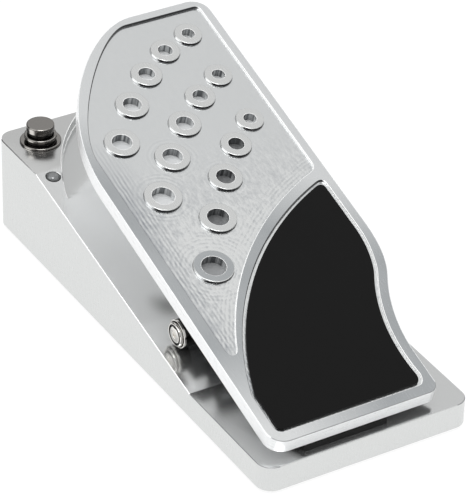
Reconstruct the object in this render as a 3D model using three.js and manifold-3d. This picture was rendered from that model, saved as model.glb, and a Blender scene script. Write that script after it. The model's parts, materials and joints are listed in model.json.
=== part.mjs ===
// Volume pedal: a milled aluminium wedge base, a foot-shaped treadle plate that rocks
// on an axle, a gear sector that turns the potentiometer, and a footswitch on the toe deck.
// Millimetres. +Y to the toe, +X to the player's right, +Z up. The parts are laid out from
// the centre of the base, and the finished pedal's origin is on the resting surface under
// the middle of its whole box.

import * as THREE from 'three';
import { mergeVertices } from 'three/addons/utils/BufferGeometryUtils.js';
import Module from 'manifold-3d';

const wasm = await Module();
wasm.setup();

const toRad = THREE.MathUtils.degToRad;

// ---- driving dimensions -------------------------------------------------------------

// base
const BASE_W = 82;
const BASE_L = 192.7;
const FOOT_H = 1.2;                 // height of the base's underside above the floor
const HEEL_H = 9.8;                 // thickness of the flat heel plate
const TOE_H = 36.7;                 // thickness at the flat toe deck
const KINK_Y = -46.5;               // heel plate meets the ramp
const DECK_Y = 64.7;                // ramp meets the toe deck
const CORNER_R = 5.8;
const WALL = 5;
const CEILING = 3.2;                // skin over the electronics bay
const BAY_HEEL_Y = -38;             // heel end of the bay
const TOE_WALL = 4.5;
const COVER_T = 1.5;
const COVER_LIP = 2.5;
const GAP = 0.3;                    // assembly gap between fixed neighbours
const RUNNING = 0.06;               // radial clearance of a running fit
const FIXED = 0.15;                 // radial clearance of a piece that is fixed in its hole
const ROUND = 24;                   // facets round a shaft or bore
const FINE = 16;                    // facets round a small hole

// treadle, in its own frame: u across, v up the slope from the heel edge, w out of its top
const TREADLE_T = 5.74;
const TREADLE_TILT = 16.5;          // degrees, heel down
const TREADLE_DROP = 14.7;          // degrees of travel to toe down
const PIVOT_Y = -27.7;
const PIVOT_Z = 22.3;
const PIVOT_V = 65.2;               // axle's place along the treadle
const PIVOT_DEPTH = 15.8;           // axle's depth under the treadle's top
const POCKET_DEPTH = 1.0;
const RING_HOLE_DEPTH = 3.4;
const RING_WALL = 2.78;
const INLAY_T = 0.9;
const INLAY_MARGIN = 1.2;           // floor left showing round the inlay

// toe recess that the treadle dips into
const RECESS_Z = FOOT_H + 33;
const RECESS_CLEARANCE = 2.4;

// pivot
const AXLE_R = 3;
const LUG_X = 25;                   // inner face of each lug
const LUG_T = 5;
const LUG_R = 4.9;
const LUG_FOOT_X = 15.5;            // inner end of each lug's foot
const COLLAR_FACE_X = 35.2;         // outer face of the collars on the axle's ends
const COLLAR_OUTER_R = 5.2;
const BLOCK_X = 7;                  // inner face of each pivot block
const BLOCK_T = 8;
const BLOCK_R = 6;

// gear sector and pinion
const GEAR_MODULE = 0.8;
const SECTOR_TEETH = 96;            // teeth of the full circle
const PINION_TEETH = 12;
const GEAR_T = 4;
const BACKLASH = 0.12;
const PRESSURE = toRad(20);
const MESH_ANGLE = -9;              // degrees, from the axle to the pinion's centre

// footswitch on the deck
const SWITCH_X = -28.6;
const SWITCH_Y = 84.5;
const COLLAR_R = 5.65;
const COLLAR_TOP = 3.2;             // above the deck
const CAP_TOP = 7.5;
const PRESS = 1.5;                  // travel

// status lamp on the ramp
const LAMP_X = -35.6;
const LAMP_Y = 61.5;
const LAMP_R = 2.5;

// sockets in the toe face
const JACK_Z = 17.5;
const INPUT_X = 27;
const OUTPUT_X = 8;
const POWER_X = -11.5;
const JACK_R = 4.75;
const JACK_BORE_R = 3.25;
const POWER_R = 5.5;

// ---- materials ----------------------------------------------------------------------

const metal = (color, roughness, metalness = 1) =>
  new THREE.MeshStandardMaterial({ color, roughness, metalness });

const polishedAluminium = metal(0xdcdedf, 0.12);
const satinAluminium = metal(0xc9cdd0, 0.32);
const blackAluminium = metal(0x1b1c1e, 0.4);
const steel = metal(0xb6b8ba, 0.25);
const gunmetal = metal(0x6c6763, 0.2);
const brass = metal(0xb8924a, 0.3);
const nickel = metal(0xc4c2bb, 0.2);
const blackPlastic = metal(0x18181a, 0.5, 0);
const blackGloss = metal(0x202020, 0.25, 0);
const whitePlastic = metal(0xe8e6de, 0.5, 0);
const rubber = metal(0x101010, 0.85, 0);
const greenBoard = metal(0x1e5a34, 0.5, 0);
const lampLens = metal(0x6f7477, 0.15, 0);

// ---- solids -------------------------------------------------------------------------

function solid(geometry) {
  const bare = geometry.clone();
  bare.deleteAttribute('normal');
  bare.deleteAttribute('uv');
  const merged = mergeVertices(bare, 1e-4);
  return new wasm.Manifold(new wasm.Mesh({
    numProp: 3,
    vertProperties: new Float32Array(merged.attributes.position.array),
    triVerts: new Uint32Array(merged.index.array),
  }));
}

function geometryOf(manifold) {
  const data = manifold.getMesh();
  const geometry = new THREE.BufferGeometry();
  geometry.setAttribute('position', new THREE.BufferAttribute(data.vertProperties, 3));
  geometry.setIndex(new THREE.BufferAttribute(data.triVerts, 1));
  geometry.computeVertexNormals();
  return geometry;
}

function piece(parent, name, shape, material) {
  const geometry = shape.isBufferGeometry ? shape : geometryOf(shape);
  const mesh = new THREE.Mesh(geometry, material);
  mesh.name = name;
  parent.add(mesh);
  return mesh;
}

const union = (first, ...rest) => rest.reduce((sum, next) => sum.add(next), first);
const cut = (body, ...tools) => tools.reduce((left, tool) => left.subtract(tool), body);

function box(x0, x1, y0, y1, z0, z1) {
  const geometry = new THREE.BoxGeometry(x1 - x0, y1 - y0, z1 - z0);
  geometry.translate((x0 + x1) / 2, (y0 + y1) / 2, (z0 + z1) / 2);
  return solid(geometry);
}

// a cylinder or prism between two heights, standing along one axis through a centre
function rod(axis, centre, from, to, radius, sides = ROUND, endRadius = radius) {
  const geometry = new THREE.CylinderGeometry(endRadius, radius, to - from, sides);
  geometry.translate(0, (from + to) / 2, 0);
  if (axis === 'z') geometry.rotateX(Math.PI / 2);
  if (axis === 'x') geometry.rotateZ(-Math.PI / 2);
  geometry.translate(...centre);
  return solid(geometry);
}

// a turned piece: its profile is a list of [radius, height] that closes on the axis
function turned(profile, sides = ROUND) {
  const geometry = new THREE.LatheGeometry(profile.map(([r, h]) => new THREE.Vector2(r, h)), sides);
  geometry.rotateX(Math.PI / 2);
  return geometry;
}

// a flat outline extruded from one height to another
function plate(shape, from, to, curveSegments = 12, chamfer = 0) {
  const geometry = new THREE.ExtrudeGeometry(shape, {
    depth: to - from - 2 * chamfer,
    curveSegments,
    bevelEnabled: chamfer > 0,
    bevelThickness: chamfer,
    bevelSize: chamfer,
    bevelOffset: -chamfer,
    bevelSegments: 1,
  });
  geometry.translate(0, 0, from + chamfer);
  return solid(geometry);
}

// an outline in the YZ plane extruded across X
function profileAcross(points, x0, x1) {
  const shape = new THREE.Shape(points.map(([y, z]) => new THREE.Vector2(y, z)));
  const geometry = new THREE.ExtrudeGeometry(shape, { depth: x1 - x0, bevelEnabled: false });
  geometry.rotateY(Math.PI / 2);
  geometry.rotateX(Math.PI / 2);
  geometry.translate(x0, 0, 0);
  return solid(geometry);
}

function roundedRectangle(x0, x1, y0, y1, r) {
  const shape = new THREE.Shape();
  shape.moveTo(x0 + r, y0);
  shape.lineTo(x1 - r, y0);
  shape.absarc(x1 - r, y0 + r, r, -Math.PI / 2, 0);
  shape.lineTo(x1, y1 - r);
  shape.absarc(x1 - r, y1 - r, r, 0, Math.PI / 2);
  shape.lineTo(x0 + r, y1);
  shape.absarc(x0 + r, y1 - r, r, Math.PI / 2, Math.PI);
  shape.lineTo(x0, y0 + r);
  shape.absarc(x0 + r, y0 + r, r, Math.PI, Math.PI * 1.5);
  return shape;
}

const moved = (manifold, x, y, z) => manifold.translate([x, y, z]);

// ---- frames -------------------------------------------------------------------------

const pedal = new THREE.Group();
const tilt = toRad(TREADLE_TILT);

// the treadle's frame, so that its axle lies at the pivot
const treadle = new THREE.Group();
treadle.rotation.x = tilt;
treadle.position.set(
  0,
  PIVOT_Y - PIVOT_V * Math.cos(tilt) - PIVOT_DEPTH * Math.sin(tilt),
  PIVOT_Z - PIVOT_V * Math.sin(tilt) + PIVOT_DEPTH * Math.cos(tilt),
);
pedal.add(treadle);

const HALF_W = BASE_W / 2;
const HALF_L = BASE_L / 2;
const HEEL_Z = FOOT_H + HEEL_H;
const DECK_Z = FOOT_H + TOE_H;
const RAMP_SLOPE = (DECK_Z - HEEL_Z) / (DECK_Y - KINK_Y);
const rampZ = (y) => HEEL_Z + (y - KINK_Y) * RAMP_SLOPE;
const RAMP_ANGLE = Math.atan(RAMP_SLOPE);
const COVER_TOP = FOOT_H + COVER_T;

// stands a piece on the ramp, square to its surface
const onRamp = (manifold, x, y) =>
  manifold.rotate([THREE.MathUtils.radToDeg(RAMP_ANGLE), 0, 0]).translate([x, y, rampZ(y)]);

// ---- treadle outlines ---------------------------------------------------------------

const HEEL_U = [-36.8, 28.9];       // left and right edges at the heel
const SIDE_U = [-36.4, 43.9];       // left and right edges towards the toe
const TOE_V = 195.5;
const WAIST = { u: 97.75, v: 15.8, r: 68.7 };       // arc of the concave right side
const WAIST_END = toRad(149.8);
const SHOULDER_V = 76;              // the waist's curve is back on the straight side here

const onArc = (arc, angle) => [arc.u + arc.r * Math.cos(angle), arc.v + arc.r * Math.sin(angle)];

// the whole treadle, grown outwards by `grow`
function treadleOutline(grow = 0) {
  const heelR = 4.2 + grow;
  const heelL = 6.5 + grow;
  const toeR = 7 + grow;
  const left = HEEL_U[0] - grow;
  const right = HEEL_U[1] + grow;
  const side = SIDE_U[1] + grow;
  const arc = { ...WAIST, r: WAIST.r - grow };
  const shape = new THREE.Shape();
  shape.moveTo(left + heelL, -grow);
  shape.lineTo(right - heelR, -grow);
  shape.absarc(right - heelR, -grow + heelR, heelR, -Math.PI / 2, 0);
  shape.absarc(arc.u, arc.v, arc.r, Math.PI, WAIST_END, true);
  shape.bezierCurveTo(42.9 + grow, 58.2, side, 67, side, SHOULDER_V);
  shape.lineTo(side, TOE_V + grow - toeR);
  shape.absarc(side - toeR, TOE_V + grow - toeR, toeR, 0, Math.PI / 2);
  shape.lineTo(13, TOE_V + grow);
  shape.bezierCurveTo(-4 - grow * 0.5, TOE_V + grow, SIDE_U[0] - grow, 162.1 + grow * 0.5,
    SIDE_U[0] - grow, 122.2);
  shape.lineTo(left, heelL - grow);
  shape.absarc(left + heelL, heelL - grow, heelL, Math.PI, Math.PI * 1.5);
  return shape;
}

const POCKET = { left: -32, right: 40.5, toe: 192.1 };
const RIB = { u: 79.4, v: -6.1, r: 117.2 };         // pocket side of the curved rib

// the sunken field that holds the rings
function pocketOutline() {
  const topEnd = Math.acos((POCKET.right - 2.6 - RIB.u) / RIB.r);
  const tipEnd = toRad(156.4);
  const tip = onArc(RIB, tipEnd);
  const shape = new THREE.Shape();
  shape.moveTo(...onArc(RIB, topEnd));
  shape.absarc(RIB.u, RIB.v, RIB.r, topEnd, tipEnd);
  shape.bezierCurveTo(tip[0] - 0.9, tip[1] - 2.2, POCKET.left, tip[1] - 2.2, POCKET.left, tip[1] + 1);
  shape.lineTo(POCKET.left, 134);
  shape.bezierCurveTo(POCKET.left, 153.6, -1.7, POCKET.toe, 9.7, POCKET.toe);
  shape.lineTo(POCKET.right - 2.5, POCKET.toe);
  shape.quadraticCurveTo(POCKET.right, POCKET.toe, POCKET.right, POCKET.toe - 2.5);
  shape.lineTo(POCKET.right, 107.4);
  shape.quadraticCurveTo(POCKET.right, 104.6, POCKET.right - 2.6, RIB.v + RIB.r * Math.sin(topEnd));
  return shape;
}

const INLAY = { left: -31.8, right: 39.2, heel: 5.4, heelRight: 24.1 };
const INLAY_ARC = { u: 79.3, v: -10.7, r: 115.7 };

// the inlay's outline, or its recess when grown
function inlayOutline(grow) {
  const left = INLAY.left - grow;
  const right = INLAY.right + grow;
  const heel = INLAY.heel - grow;
  const corner = 2 + grow;
  const arc = { ...INLAY_ARC, r: INLAY_ARC.r + grow };
  const waist = { ...WAIST, r: 73.6 - grow };
  const waistTop = onArc(waist, WAIST_END);
  const tip = [right, arc.v + Math.sqrt(arc.r ** 2 - (right - arc.u) ** 2)];
  const arcStart = Math.acos((right - 3.2 - arc.u) / arc.r);
  const arcEnd = Math.acos((left - arc.u) / arc.r);
  const shape = new THREE.Shape();
  shape.moveTo(left + corner, heel);
  shape.lineTo(INLAY.heelRight + grow - corner, heel);
  shape.quadraticCurveTo(INLAY.heelRight + grow, heel, ...onArc(waist, Math.PI + 0.1));
  shape.absarc(waist.u, waist.v, waist.r, Math.PI + 0.1, WAIST_END, true);
  shape.bezierCurveTo(waistTop[0] + 2.5, waistTop[1] + 4.3, right, 66, right, 74);
  shape.lineTo(right, tip[1] - 3.4);
  shape.quadraticCurveTo(...tip, ...onArc(arc, arcStart));
  shape.absarc(arc.u, arc.v, arc.r, arcStart, arcEnd);
  shape.lineTo(left, heel + corner);
  shape.quadraticCurveTo(left, heel, left + corner, heel);
  return shape;
}

// three bowed rows of five rings, growing towards the player's left and the heel
function ringPlaces() {
  const rows = [
    { u: 29.8, step: 12.3, drift: 0, v: 180.4, slope: 3.1, bow: 1.75, grow: 0.32 },
    { u: 30.1, step: 11.6, drift: 0.1, v: 157.9, slope: 5.9, bow: 1.4, grow: 0.42 },
    { u: 30.1, step: 10.7, drift: 0.27, v: 134.3, slope: 7.6, bow: 1.7, grow: 0.51 },
  ];
  const places = [];
  for (const { u, step, drift, v, slope, bow, grow } of rows) {
    for (let column = 0; column < 5; column += 1) {
      places.push({
        u: u - step * column - drift * column ** 2,
        v: v - slope * column - bow * column ** 2,
        hole: 2.42 + grow * column,
      });
    }
  }
  return places;
}

// ---- base ---------------------------------------------------------------------------

const COVER_SCREWS = [[-31, -75], [31, -75], [-31.5, 58], [31.5, 58]];
const BLOCK_CENTRE = BLOCK_X + BLOCK_T / 2;
const SLOT = { halfWidth: 4, y0: -21.5, y1: 14 };
const DECK_HOLE_R = COLLAR_R + 0.1;
const BOSS_R = 4;
const TAB = [22, 30];               // heel and toe ends of the potentiometer bracket's tab
const TAB_SCREW_X = 12.5;
const COVER_TAP_R = 1.7;
const COVER_TAP_TOP = FOOT_H + 7;
const BLOCK_HOLE_R = 2.2;
const SPOTFACE_R = 4;
const SPOTFACE_Z = 12.5;            // seats of the pivot blocks' screws
const ABOVE = 60;                   // a height clear above the base

// the room that the treadle's toe dips into, open at the toe and at the right side
function toeRecess() {
  const toeDownTilt = toRad(TREADLE_TILT - TREADLE_DROP);
  const shift = PIVOT_Y - PIVOT_V - (PIVOT_DEPTH - TREADLE_T / 2) * Math.sin(toeDownTilt);
  return moved(plate(treadleOutline(RECESS_CLEARANCE), RECESS_Z, DECK_Z + 5, 8), 0, shift, 0);
}

function baseHousing() {
  const side = [
    [-HALF_L, FOOT_H], [HALF_L, FOOT_H], [HALF_L, DECK_Z], [DECK_Y, DECK_Z],
    [KINK_Y, HEEL_Z], [-HALF_L, HEEL_Z],
  ];
  const footprint = plate(roundedRectangle(-HALF_W, HALF_W, -HALF_L, HALF_L, CORNER_R), 0, ABOVE, 6);
  let body = profileAcross(side, -HALF_W, HALF_W).intersect(footprint);

  const bayTop = RECESS_Z - CEILING;
  const bayKink = KINK_Y + (bayTop + CEILING - HEEL_Z) / RAMP_SLOPE;
  const bay = profileAcross([
    [BAY_HEEL_Y, 0], [HALF_L - TOE_WALL, 0], [HALF_L - TOE_WALL, bayTop],
    [bayKink, bayTop], [BAY_HEEL_Y, rampZ(BAY_HEEL_Y) - CEILING],
  ], -HALF_W + WALL, HALF_W - WALL);
  const bosses = COVER_SCREWS.slice(2).map(([x, y]) =>
    union(
      rod('z', [x, y, 0], 0, bayTop, BOSS_R, FINE),
      box(Math.min(x, Math.sign(x) * HALF_W), Math.max(x, Math.sign(x) * HALF_W),
        y - BOSS_R, y + BOSS_R, 0, bayTop),
    ));
  body = cut(body, cut(bay, ...bosses));

  const rebate = HALF_W - COVER_LIP + GAP;
  body = cut(
    body,
    plate(roundedRectangle(-rebate, rebate, -HALF_L + COVER_LIP - GAP, HALF_L - COVER_LIP + GAP, 3.5),
      0, COVER_TOP + GAP, 3),
    ...COVER_SCREWS.map(([x, y]) => rod('z', [x, y, 0], 0, COVER_TAP_TOP, COVER_TAP_R, 12)),
    toeRecess(),
    box(-SLOT.halfWidth, SLOT.halfWidth, SLOT.y0, SLOT.y1, COVER_TOP, ABOVE),
    rod('z', [SWITCH_X, SWITCH_Y, 0], 20, ABOVE, DECK_HOLE_R),
    onRamp(rod('z', [0, 0, 0], -12, 5, LAMP_R + FIXED, FINE), LAMP_X, LAMP_Y),
    onRamp(rod('z', [0, 0, 0], -8, -0.9, 1.25, 12), TAB_SCREW_X, (TAB[0] + TAB[1]) / 2),
  );
  for (const sign of [-1, 1]) {
    body = cut(
      body,
      rod('z', [sign * BLOCK_CENTRE, PIVOT_Y, 0], 5, 20, BLOCK_HOLE_R, 12),
      rod('z', [sign * BLOCK_CENTRE, PIVOT_Y, 0], 5, SPOTFACE_Z, SPOTFACE_R, FINE),
    );
  }
  for (const x of [INPUT_X, OUTPUT_X]) {
    body = cut(body, rod('y', [x, 0, JACK_Z], HALF_L - 8, HALF_L + 2, JACK_R + FIXED));
  }
  return cut(body, rod('y', [POWER_X, 0, JACK_Z], HALF_L - 8, HALF_L + 2, POWER_R + FIXED));
}

piece(pedal, 'base_housing', baseHousing(), polishedAluminium);

const coverOutline = roundedRectangle(-HALF_W + COVER_LIP, HALF_W - COVER_LIP,
  -HALF_L + COVER_LIP, HALF_L - COVER_LIP, 3.2);
const countersinks = COVER_SCREWS.map(([x, y]) => union(
  rod('z', [x, y, 0], 0, 10, 1.8, FINE),
  rod('z', [x, y, 0], FOOT_H - 0.01, FOOT_H + 1.2, 3.4, FINE, 1.8),
));
piece(pedal, 'bottom_cover', cut(plate(coverOutline, FOOT_H, COVER_TOP, 3), ...countersinks), steel);

// a screw standing head down at z = 0: flat or countersunk head, with a hex socket in it
function screw({ headR, headH, shankR, length, countersunk = false, socketR = 0.9 }) {
  const coneRim = [[headR, 0], [headR, 0.15], [shankR, headH]];
  const flatRim = [[headR, 0], [headR, headH], [shankR, headH]];
  const rim = countersunk ? coneRim : flatRim;
  const body = solid(turned([[0, 0], ...rim, [shankR, length], [0, length]], FINE));
  return cut(body, rod('z', [0, 0, 0], -1, headH * 0.6, socketR, 6));
}

COVER_SCREWS.forEach(([x, y], i) => {
  const flatHead = screw({ headR: 2.9, headH: 1.3, shankR: 1.5, length: 6, countersunk: true });
  piece(pedal, `cover_screw_${i + 1}`, moved(flatHead, x, y, FOOT_H + 0.05), steel);
});

const FEET = [[-30, -86], [30, -86], [-30, 84], [30, 84]];
FEET.forEach(([x, y], i) => {
  const disc = turned([[0, 0], [6.2, 0], [6.8, 0.4], [6.8, 1], [0, 1]]);
  disc.translate(x, y, 0);
  piece(pedal, `rubber_foot_${i + 1}`, disc, rubber);
});

// wedge that the treadle's heel lands on
const HEEL_PAD = { x0: -24, x1: 8.5, y0: -93.2, y1: -81 };
const underHeel = (y) => treadle.position.z - TREADLE_T / Math.cos(tilt)
  + (y - treadle.position.y) * Math.tan(tilt);
piece(pedal, 'heel_stop_pad', profileAcross([
  [HEEL_PAD.y0, HEEL_Z + 0.05], [HEEL_PAD.y1, HEEL_Z + 0.05],
  [HEEL_PAD.y1, underHeel(HEEL_PAD.y1) - 0.12], [HEEL_PAD.y0, underHeel(HEEL_PAD.y0) - 0.12],
], HEEL_PAD.x0, HEEL_PAD.x1), rubber);

// pad in the recess that the treadle's toe lands on
piece(pedal, 'toe_stop_pad', plate(roundedRectangle(2, 32, 79, 91, 2), RECESS_Z + 0.05,
  RECESS_Z + 1.35, 5), rubber);

// ---- pivot --------------------------------------------------------------------------

function pivotBlock(sign) {
  const centre = [0, PIVOT_Y, PIVOT_Z];
  const x0 = sign > 0 ? BLOCK_X : -BLOCK_X - BLOCK_T;
  const foot = 8.5;
  const body = union(
    rod('x', centre, x0, x0 + BLOCK_T, BLOCK_R),
    profileAcross([
      [PIVOT_Y - foot, rampZ(PIVOT_Y - foot) + 0.1], [PIVOT_Y + foot, rampZ(PIVOT_Y + foot) + 0.1],
      [PIVOT_Y + BLOCK_R - 0.2, PIVOT_Z + 1], [PIVOT_Y - BLOCK_R + 0.2, PIVOT_Z + 1],
    ], x0, x0 + BLOCK_T),
  );
  return cut(
    body,
    rod('x', centre, x0 - 1, x0 + BLOCK_T + 1, 4.35),
    rod('z', [sign * BLOCK_CENTRE, PIVOT_Y, 0], 10, PIVOT_Z - 4.6, 1.85, 12),
  );
}

const SIDES = [['left', -1], ['right', 1]];

for (const [side, sign] of SIDES) {
  piece(pedal, `pivot_block_${side}`, pivotBlock(sign), blackAluminium);

  const capScrew = screw({ headR: 3.4, headH: 3, shankR: 1.7, length: 8.2, socketR: 1.5 });
  piece(pedal, `block_screw_${side}`,
    moved(capScrew, sign * BLOCK_CENTRE, PIVOT_Y, SPOTFACE_Z - 3.05), steel);

  // flanged bushing, its flange on the outer side
  const bushing = solid(turned([[0, 0], [5.4, 0], [5.4, 0.9], [4.2, 0.9], [4.2, BLOCK_T], [0, BLOCK_T]]));
  const bored = cut(bushing, rod('z', [0, 0, 0], -1, BLOCK_T + 1, AXLE_R + RUNNING));
  const outer = BLOCK_X + BLOCK_T + 0.95;
  const lying = bored.rotate([0, sign > 0 ? -90 : 90, 0]);
  piece(pedal, `pivot_bushing_${side}`, moved(lying, sign * outer, PIVOT_Y, PIVOT_Z), brass);
}

// ---- treadle ------------------------------------------------------------------------

const LUG_SCREWS_V = [PIVOT_V - 5.6, PIVOT_V + 5.6];
const LUG_SCREW_U = LUG_X - 5.5;

function treadlePlate() {
  const body = plate(treadleOutline(), -TREADLE_T, 0, 8);
  const pocket = plate(pocketOutline(), -POCKET_DEPTH, 1, 8);
  const recess = plate(inlayOutline(INLAY_MARGIN), -POCKET_DEPTH, 1, 8);
  const rings = ringPlaces();
  const bosses = rings.map(({ u, v, hole }) =>
    rod('z', [u, v, 0], -POCKET_DEPTH - 0.2, 0, hole + RING_WALL));
  const holes = rings.map(({ u, v, hole }) => rod('z', [u, v, 0], -RING_HOLE_DEPTH, 1, hole, FINE));
  const screwHoles = SIDES.flatMap(([, sign]) => LUG_SCREWS_V.map((v) =>
    rod('z', [sign * LUG_SCREW_U, v, 0], -TREADLE_T - 1, -TREADLE_T + 3.2, 1.6, 8)));
  const field = cut(pocket, ...bosses);
  return cut(body, field, recess, ...holes, ...screwHoles);
}

piece(treadle, 'treadle_plate', treadlePlate(), satinAluminium);
piece(treadle, 'treadle_inlay',
  plate(inlayOutline(0), -POCKET_DEPTH + 0.05, -POCKET_DEPTH + INLAY_T, 8), blackGloss);

// lug: a cheek that hangs from the plate to the axle, with an inward foot
function pivotLug(sign) {
  const top = -TREADLE_T - 0.1;
  const footH = 3.5;
  const centre = [0, PIVOT_V, -PIVOT_DEPTH];
  const x0 = sign > 0 ? LUG_X : -LUG_X - LUG_T;
  const cheek = union(
    rod('x', centre, x0, x0 + LUG_T, LUG_R),
    profileAcross([
      [PIVOT_V - LUG_R, -PIVOT_DEPTH], [PIVOT_V + LUG_R, -PIVOT_DEPTH],
      [PIVOT_V + 8.5, top - footH], [PIVOT_V + 8.5, top], [PIVOT_V - 8.5, top],
      [PIVOT_V - 8.5, top - footH],
    ], x0, x0 + LUG_T),
  );
  const footX = [sign * LUG_FOOT_X, sign * (LUG_X + 1)].sort((p, q) => p - q);
  const foot = box(...footX, PIVOT_V - 8.5, PIVOT_V + 8.5, top - footH, top);
  return cut(
    union(cheek, foot),
    rod('x', centre, x0 - 1, x0 + LUG_T + 1, AXLE_R + RUNNING),
    ...LUG_SCREWS_V.map((v) => rod('z', [sign * LUG_SCREW_U, v, 0], top - footH - 1, top + 1, 1.65, 8)),
  );
}

for (const [side, sign] of SIDES) {
  piece(treadle, `pivot_lug_${side}`, pivotLug(sign), blackAluminium);
  LUG_SCREWS_V.forEach((v, i) => {
    const panHead = screw({ headR: 2.6, headH: 1.8, shankR: 1.4, length: 8 });
    piece(treadle, `lug_screw_${side}_${i + 1}`,
      moved(panHead, sign * LUG_SCREW_U, v, -TREADLE_T - 3.6 - 1.85), steel);
  });
}

const AXLE_END = LUG_X + LUG_T - 0.4;
const axle = new THREE.Group();
axle.position.set(0, PIVOT_V, -PIVOT_DEPTH);
treadle.add(axle);
piece(axle, 'pivot_axle', cut(
  rod('x', [0, 0, 0], -AXLE_END, AXLE_END, AXLE_R),
  ...SIDES.map(([, sign]) => rod('x', [sign * AXLE_END, 0, 0], -6, 6, 1.5, 12)),
), steel);

for (const [side, sign] of SIDES) {
  const turn = (manifold, x) => moved(manifold.rotate([0, sign > 0 ? -90 : 90, 0]), sign * x, 0, 0);
  const collarT = COLLAR_FACE_X - LUG_X - LUG_T - 0.1;
  const collar = cut(
    solid(turned([
      [0, 0], [COLLAR_OUTER_R - 0.2, 0], [COLLAR_OUTER_R, 0.2], [COLLAR_OUTER_R, collarT], [0, collarT],
    ])),
    rod('z', [0, 0, 0], -1, collarT + 1, 1.6, FINE),
  );
  piece(axle, `axle_collar_${side}`, turn(collar, COLLAR_FACE_X), nickel);

  const button = cut(
    solid(turned([[0, 0], [3.3, 0], [4.2, 0.4], [4.5, 1.1], [1.4, 1.1], [1.4, 10], [0, 10]])),
    rod('z', [0, 0, 0], -1, 0.9, 1.5, 6),
  );
  piece(axle, `axle_end_screw_${side}`, turn(button, COLLAR_FACE_X + 1.15), nickel);

  const spacerFrom = BLOCK_X + BLOCK_T + 1.1;
  const spacer = cut(rod('x', [0, 0, 0], spacerFrom, LUG_X - 0.15, 4.4, FINE),
    rod('x', [0, 0, 0], spacerFrom - 1, LUG_X + 1, AXLE_R + RUNNING));
  piece(axle, `axle_spacer_${side}`, sign > 0 ? spacer : spacer.rotate([0, 0, 180]), blackPlastic);
}

// ---- gears --------------------------------------------------------------------------

const PITCH_SECTOR = GEAR_MODULE * SECTOR_TEETH / 2;
const PITCH_PINION = GEAR_MODULE * PINION_TEETH / 2;

const involute = (angle) => Math.tan(angle) - angle;

// one tooth's outline about +X of its plane, from the root circle outwards and back
function toothPoints(teeth, steps = 3) {
  const pitch = GEAR_MODULE * teeth / 2;
  const base = pitch * Math.cos(PRESSURE);
  const tip = pitch + GEAR_MODULE;
  const root = pitch - 1.25 * GEAR_MODULE;
  const halfPitch = Math.PI / (2 * teeth) - BACKLASH / (2 * pitch) + involute(PRESSURE);
  const start = Math.max(base, root);
  const flank = [];
  for (let i = 0; i <= steps; i += 1) {
    const r = start + (tip - start) * i / steps;
    flank.push([r, halfPitch - involute(Math.acos(Math.min(1, base / r)))]);
  }
  flank.unshift([root - 0.3, flank[0][1]]);
  return [...flank.map(([r, a]) => [r, -a]), ...flank.reverse()];
}

function toothSolid(teeth, turn) {
  const shape = new THREE.Shape(toothPoints(teeth).map(([r, a]) =>
    new THREE.Vector2(r * Math.cos(a + turn), r * Math.sin(a + turn))));
  return plate(shape, -GEAR_T / 2, GEAR_T / 2);
}

// turns a gear drawn in its own plane so that its axis lies along X
const acrossX = (manifold) => manifold.rotate([0, 90, 0]).rotate([90, 0, 0]);

const SECTOR_PITCH_ANGLE = 2 * Math.PI / SECTOR_TEETH;

function gearSector() {
  const mesh = toRad(MESH_ANGLE);
  const first = -1;
  const last = Math.ceil(toRad(TREADLE_DROP) / SECTOR_PITCH_ANGLE) + 1;
  const root = PITCH_SECTOR - 1.25 * GEAR_MODULE;
  const from = mesh + (first - 0.5) * SECTOR_PITCH_ANGLE;
  const to = mesh + (last + 0.5) * SECTOR_PITCH_ANGLE;
  const web = new THREE.Shape();
  web.moveTo(0, 0);
  web.lineTo(root * Math.cos(from), root * Math.sin(from));
  web.absarc(0, 0, root, from, to);
  web.lineTo(0, 0);
  let sector = union(
    plate(web, -GEAR_T / 2, GEAR_T / 2, 10),
    rod('z', [0, 0, 0], -GEAR_T / 2 - 1.5, GEAR_T / 2 + 1.5, 6),
  );
  for (let i = first; i <= last; i += 1) {
    sector = sector.add(toothSolid(SECTOR_TEETH, mesh + i * SECTOR_PITCH_ANGLE));
  }
  const window = new THREE.Shape();
  const inner = [from + 0.11, to - 0.11];
  window.absarc(0, 0, root - 3.2, ...inner);
  window.absarc(0, 0, 13, inner[1] - 0.08, inner[0] + 0.08, true);
  window.closePath();
  return cut(
    sector,
    rod('z', [0, 0, 0], -10, 10, AXLE_R + RUNNING),
    plate(window, -GEAR_T, GEAR_T, 6),
  );
}

const drive = new THREE.Group();
drive.position.set(0, PIVOT_Y, PIVOT_Z);
pedal.add(drive);
piece(drive, 'gear_sector', acrossX(gearSector()), brass);

const POT_Y = PIVOT_Y + (PITCH_SECTOR + PITCH_PINION) * Math.cos(toRad(MESH_ANGLE));
const POT_Z = PIVOT_Z + (PITCH_SECTOR + PITCH_PINION) * Math.sin(toRad(MESH_ANGLE));
const pot = new THREE.Group();
pot.position.set(0, POT_Y, POT_Z);
pedal.add(pot);

function pinion() {
  const root = PITCH_PINION - 1.25 * GEAR_MODULE;
  let gear = rod('z', [0, 0, 0], -GEAR_T / 2, GEAR_T / 2, root);
  // a gap faces the sector's tooth on the line of centres
  const facing = toRad(MESH_ANGLE) + Math.PI + Math.PI / PINION_TEETH;
  for (let i = 0; i < PINION_TEETH; i += 1) {
    gear = gear.add(toothSolid(PINION_TEETH, facing + i * 2 * Math.PI / PINION_TEETH));
  }
  return cut(gear, rod('z', [0, 0, 0], -5, 5, 2 + RUNNING, FINE));
}

piece(pot, 'pot_pinion', acrossX(pinion()), whitePlastic);

const BRACKET_X = 6.2;
const BRACKET_T = 1.2;
const POT_HALF = 5;                 // half the width of the potentiometer's case
piece(pot, 'pot_shaft', union(
  rod('x', [0, 0, 0], -3, 3.2, 2, FINE),
  rod('x', [0, 0, 0], 3, 16.4, 2.9, FINE),
), steel);

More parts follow.
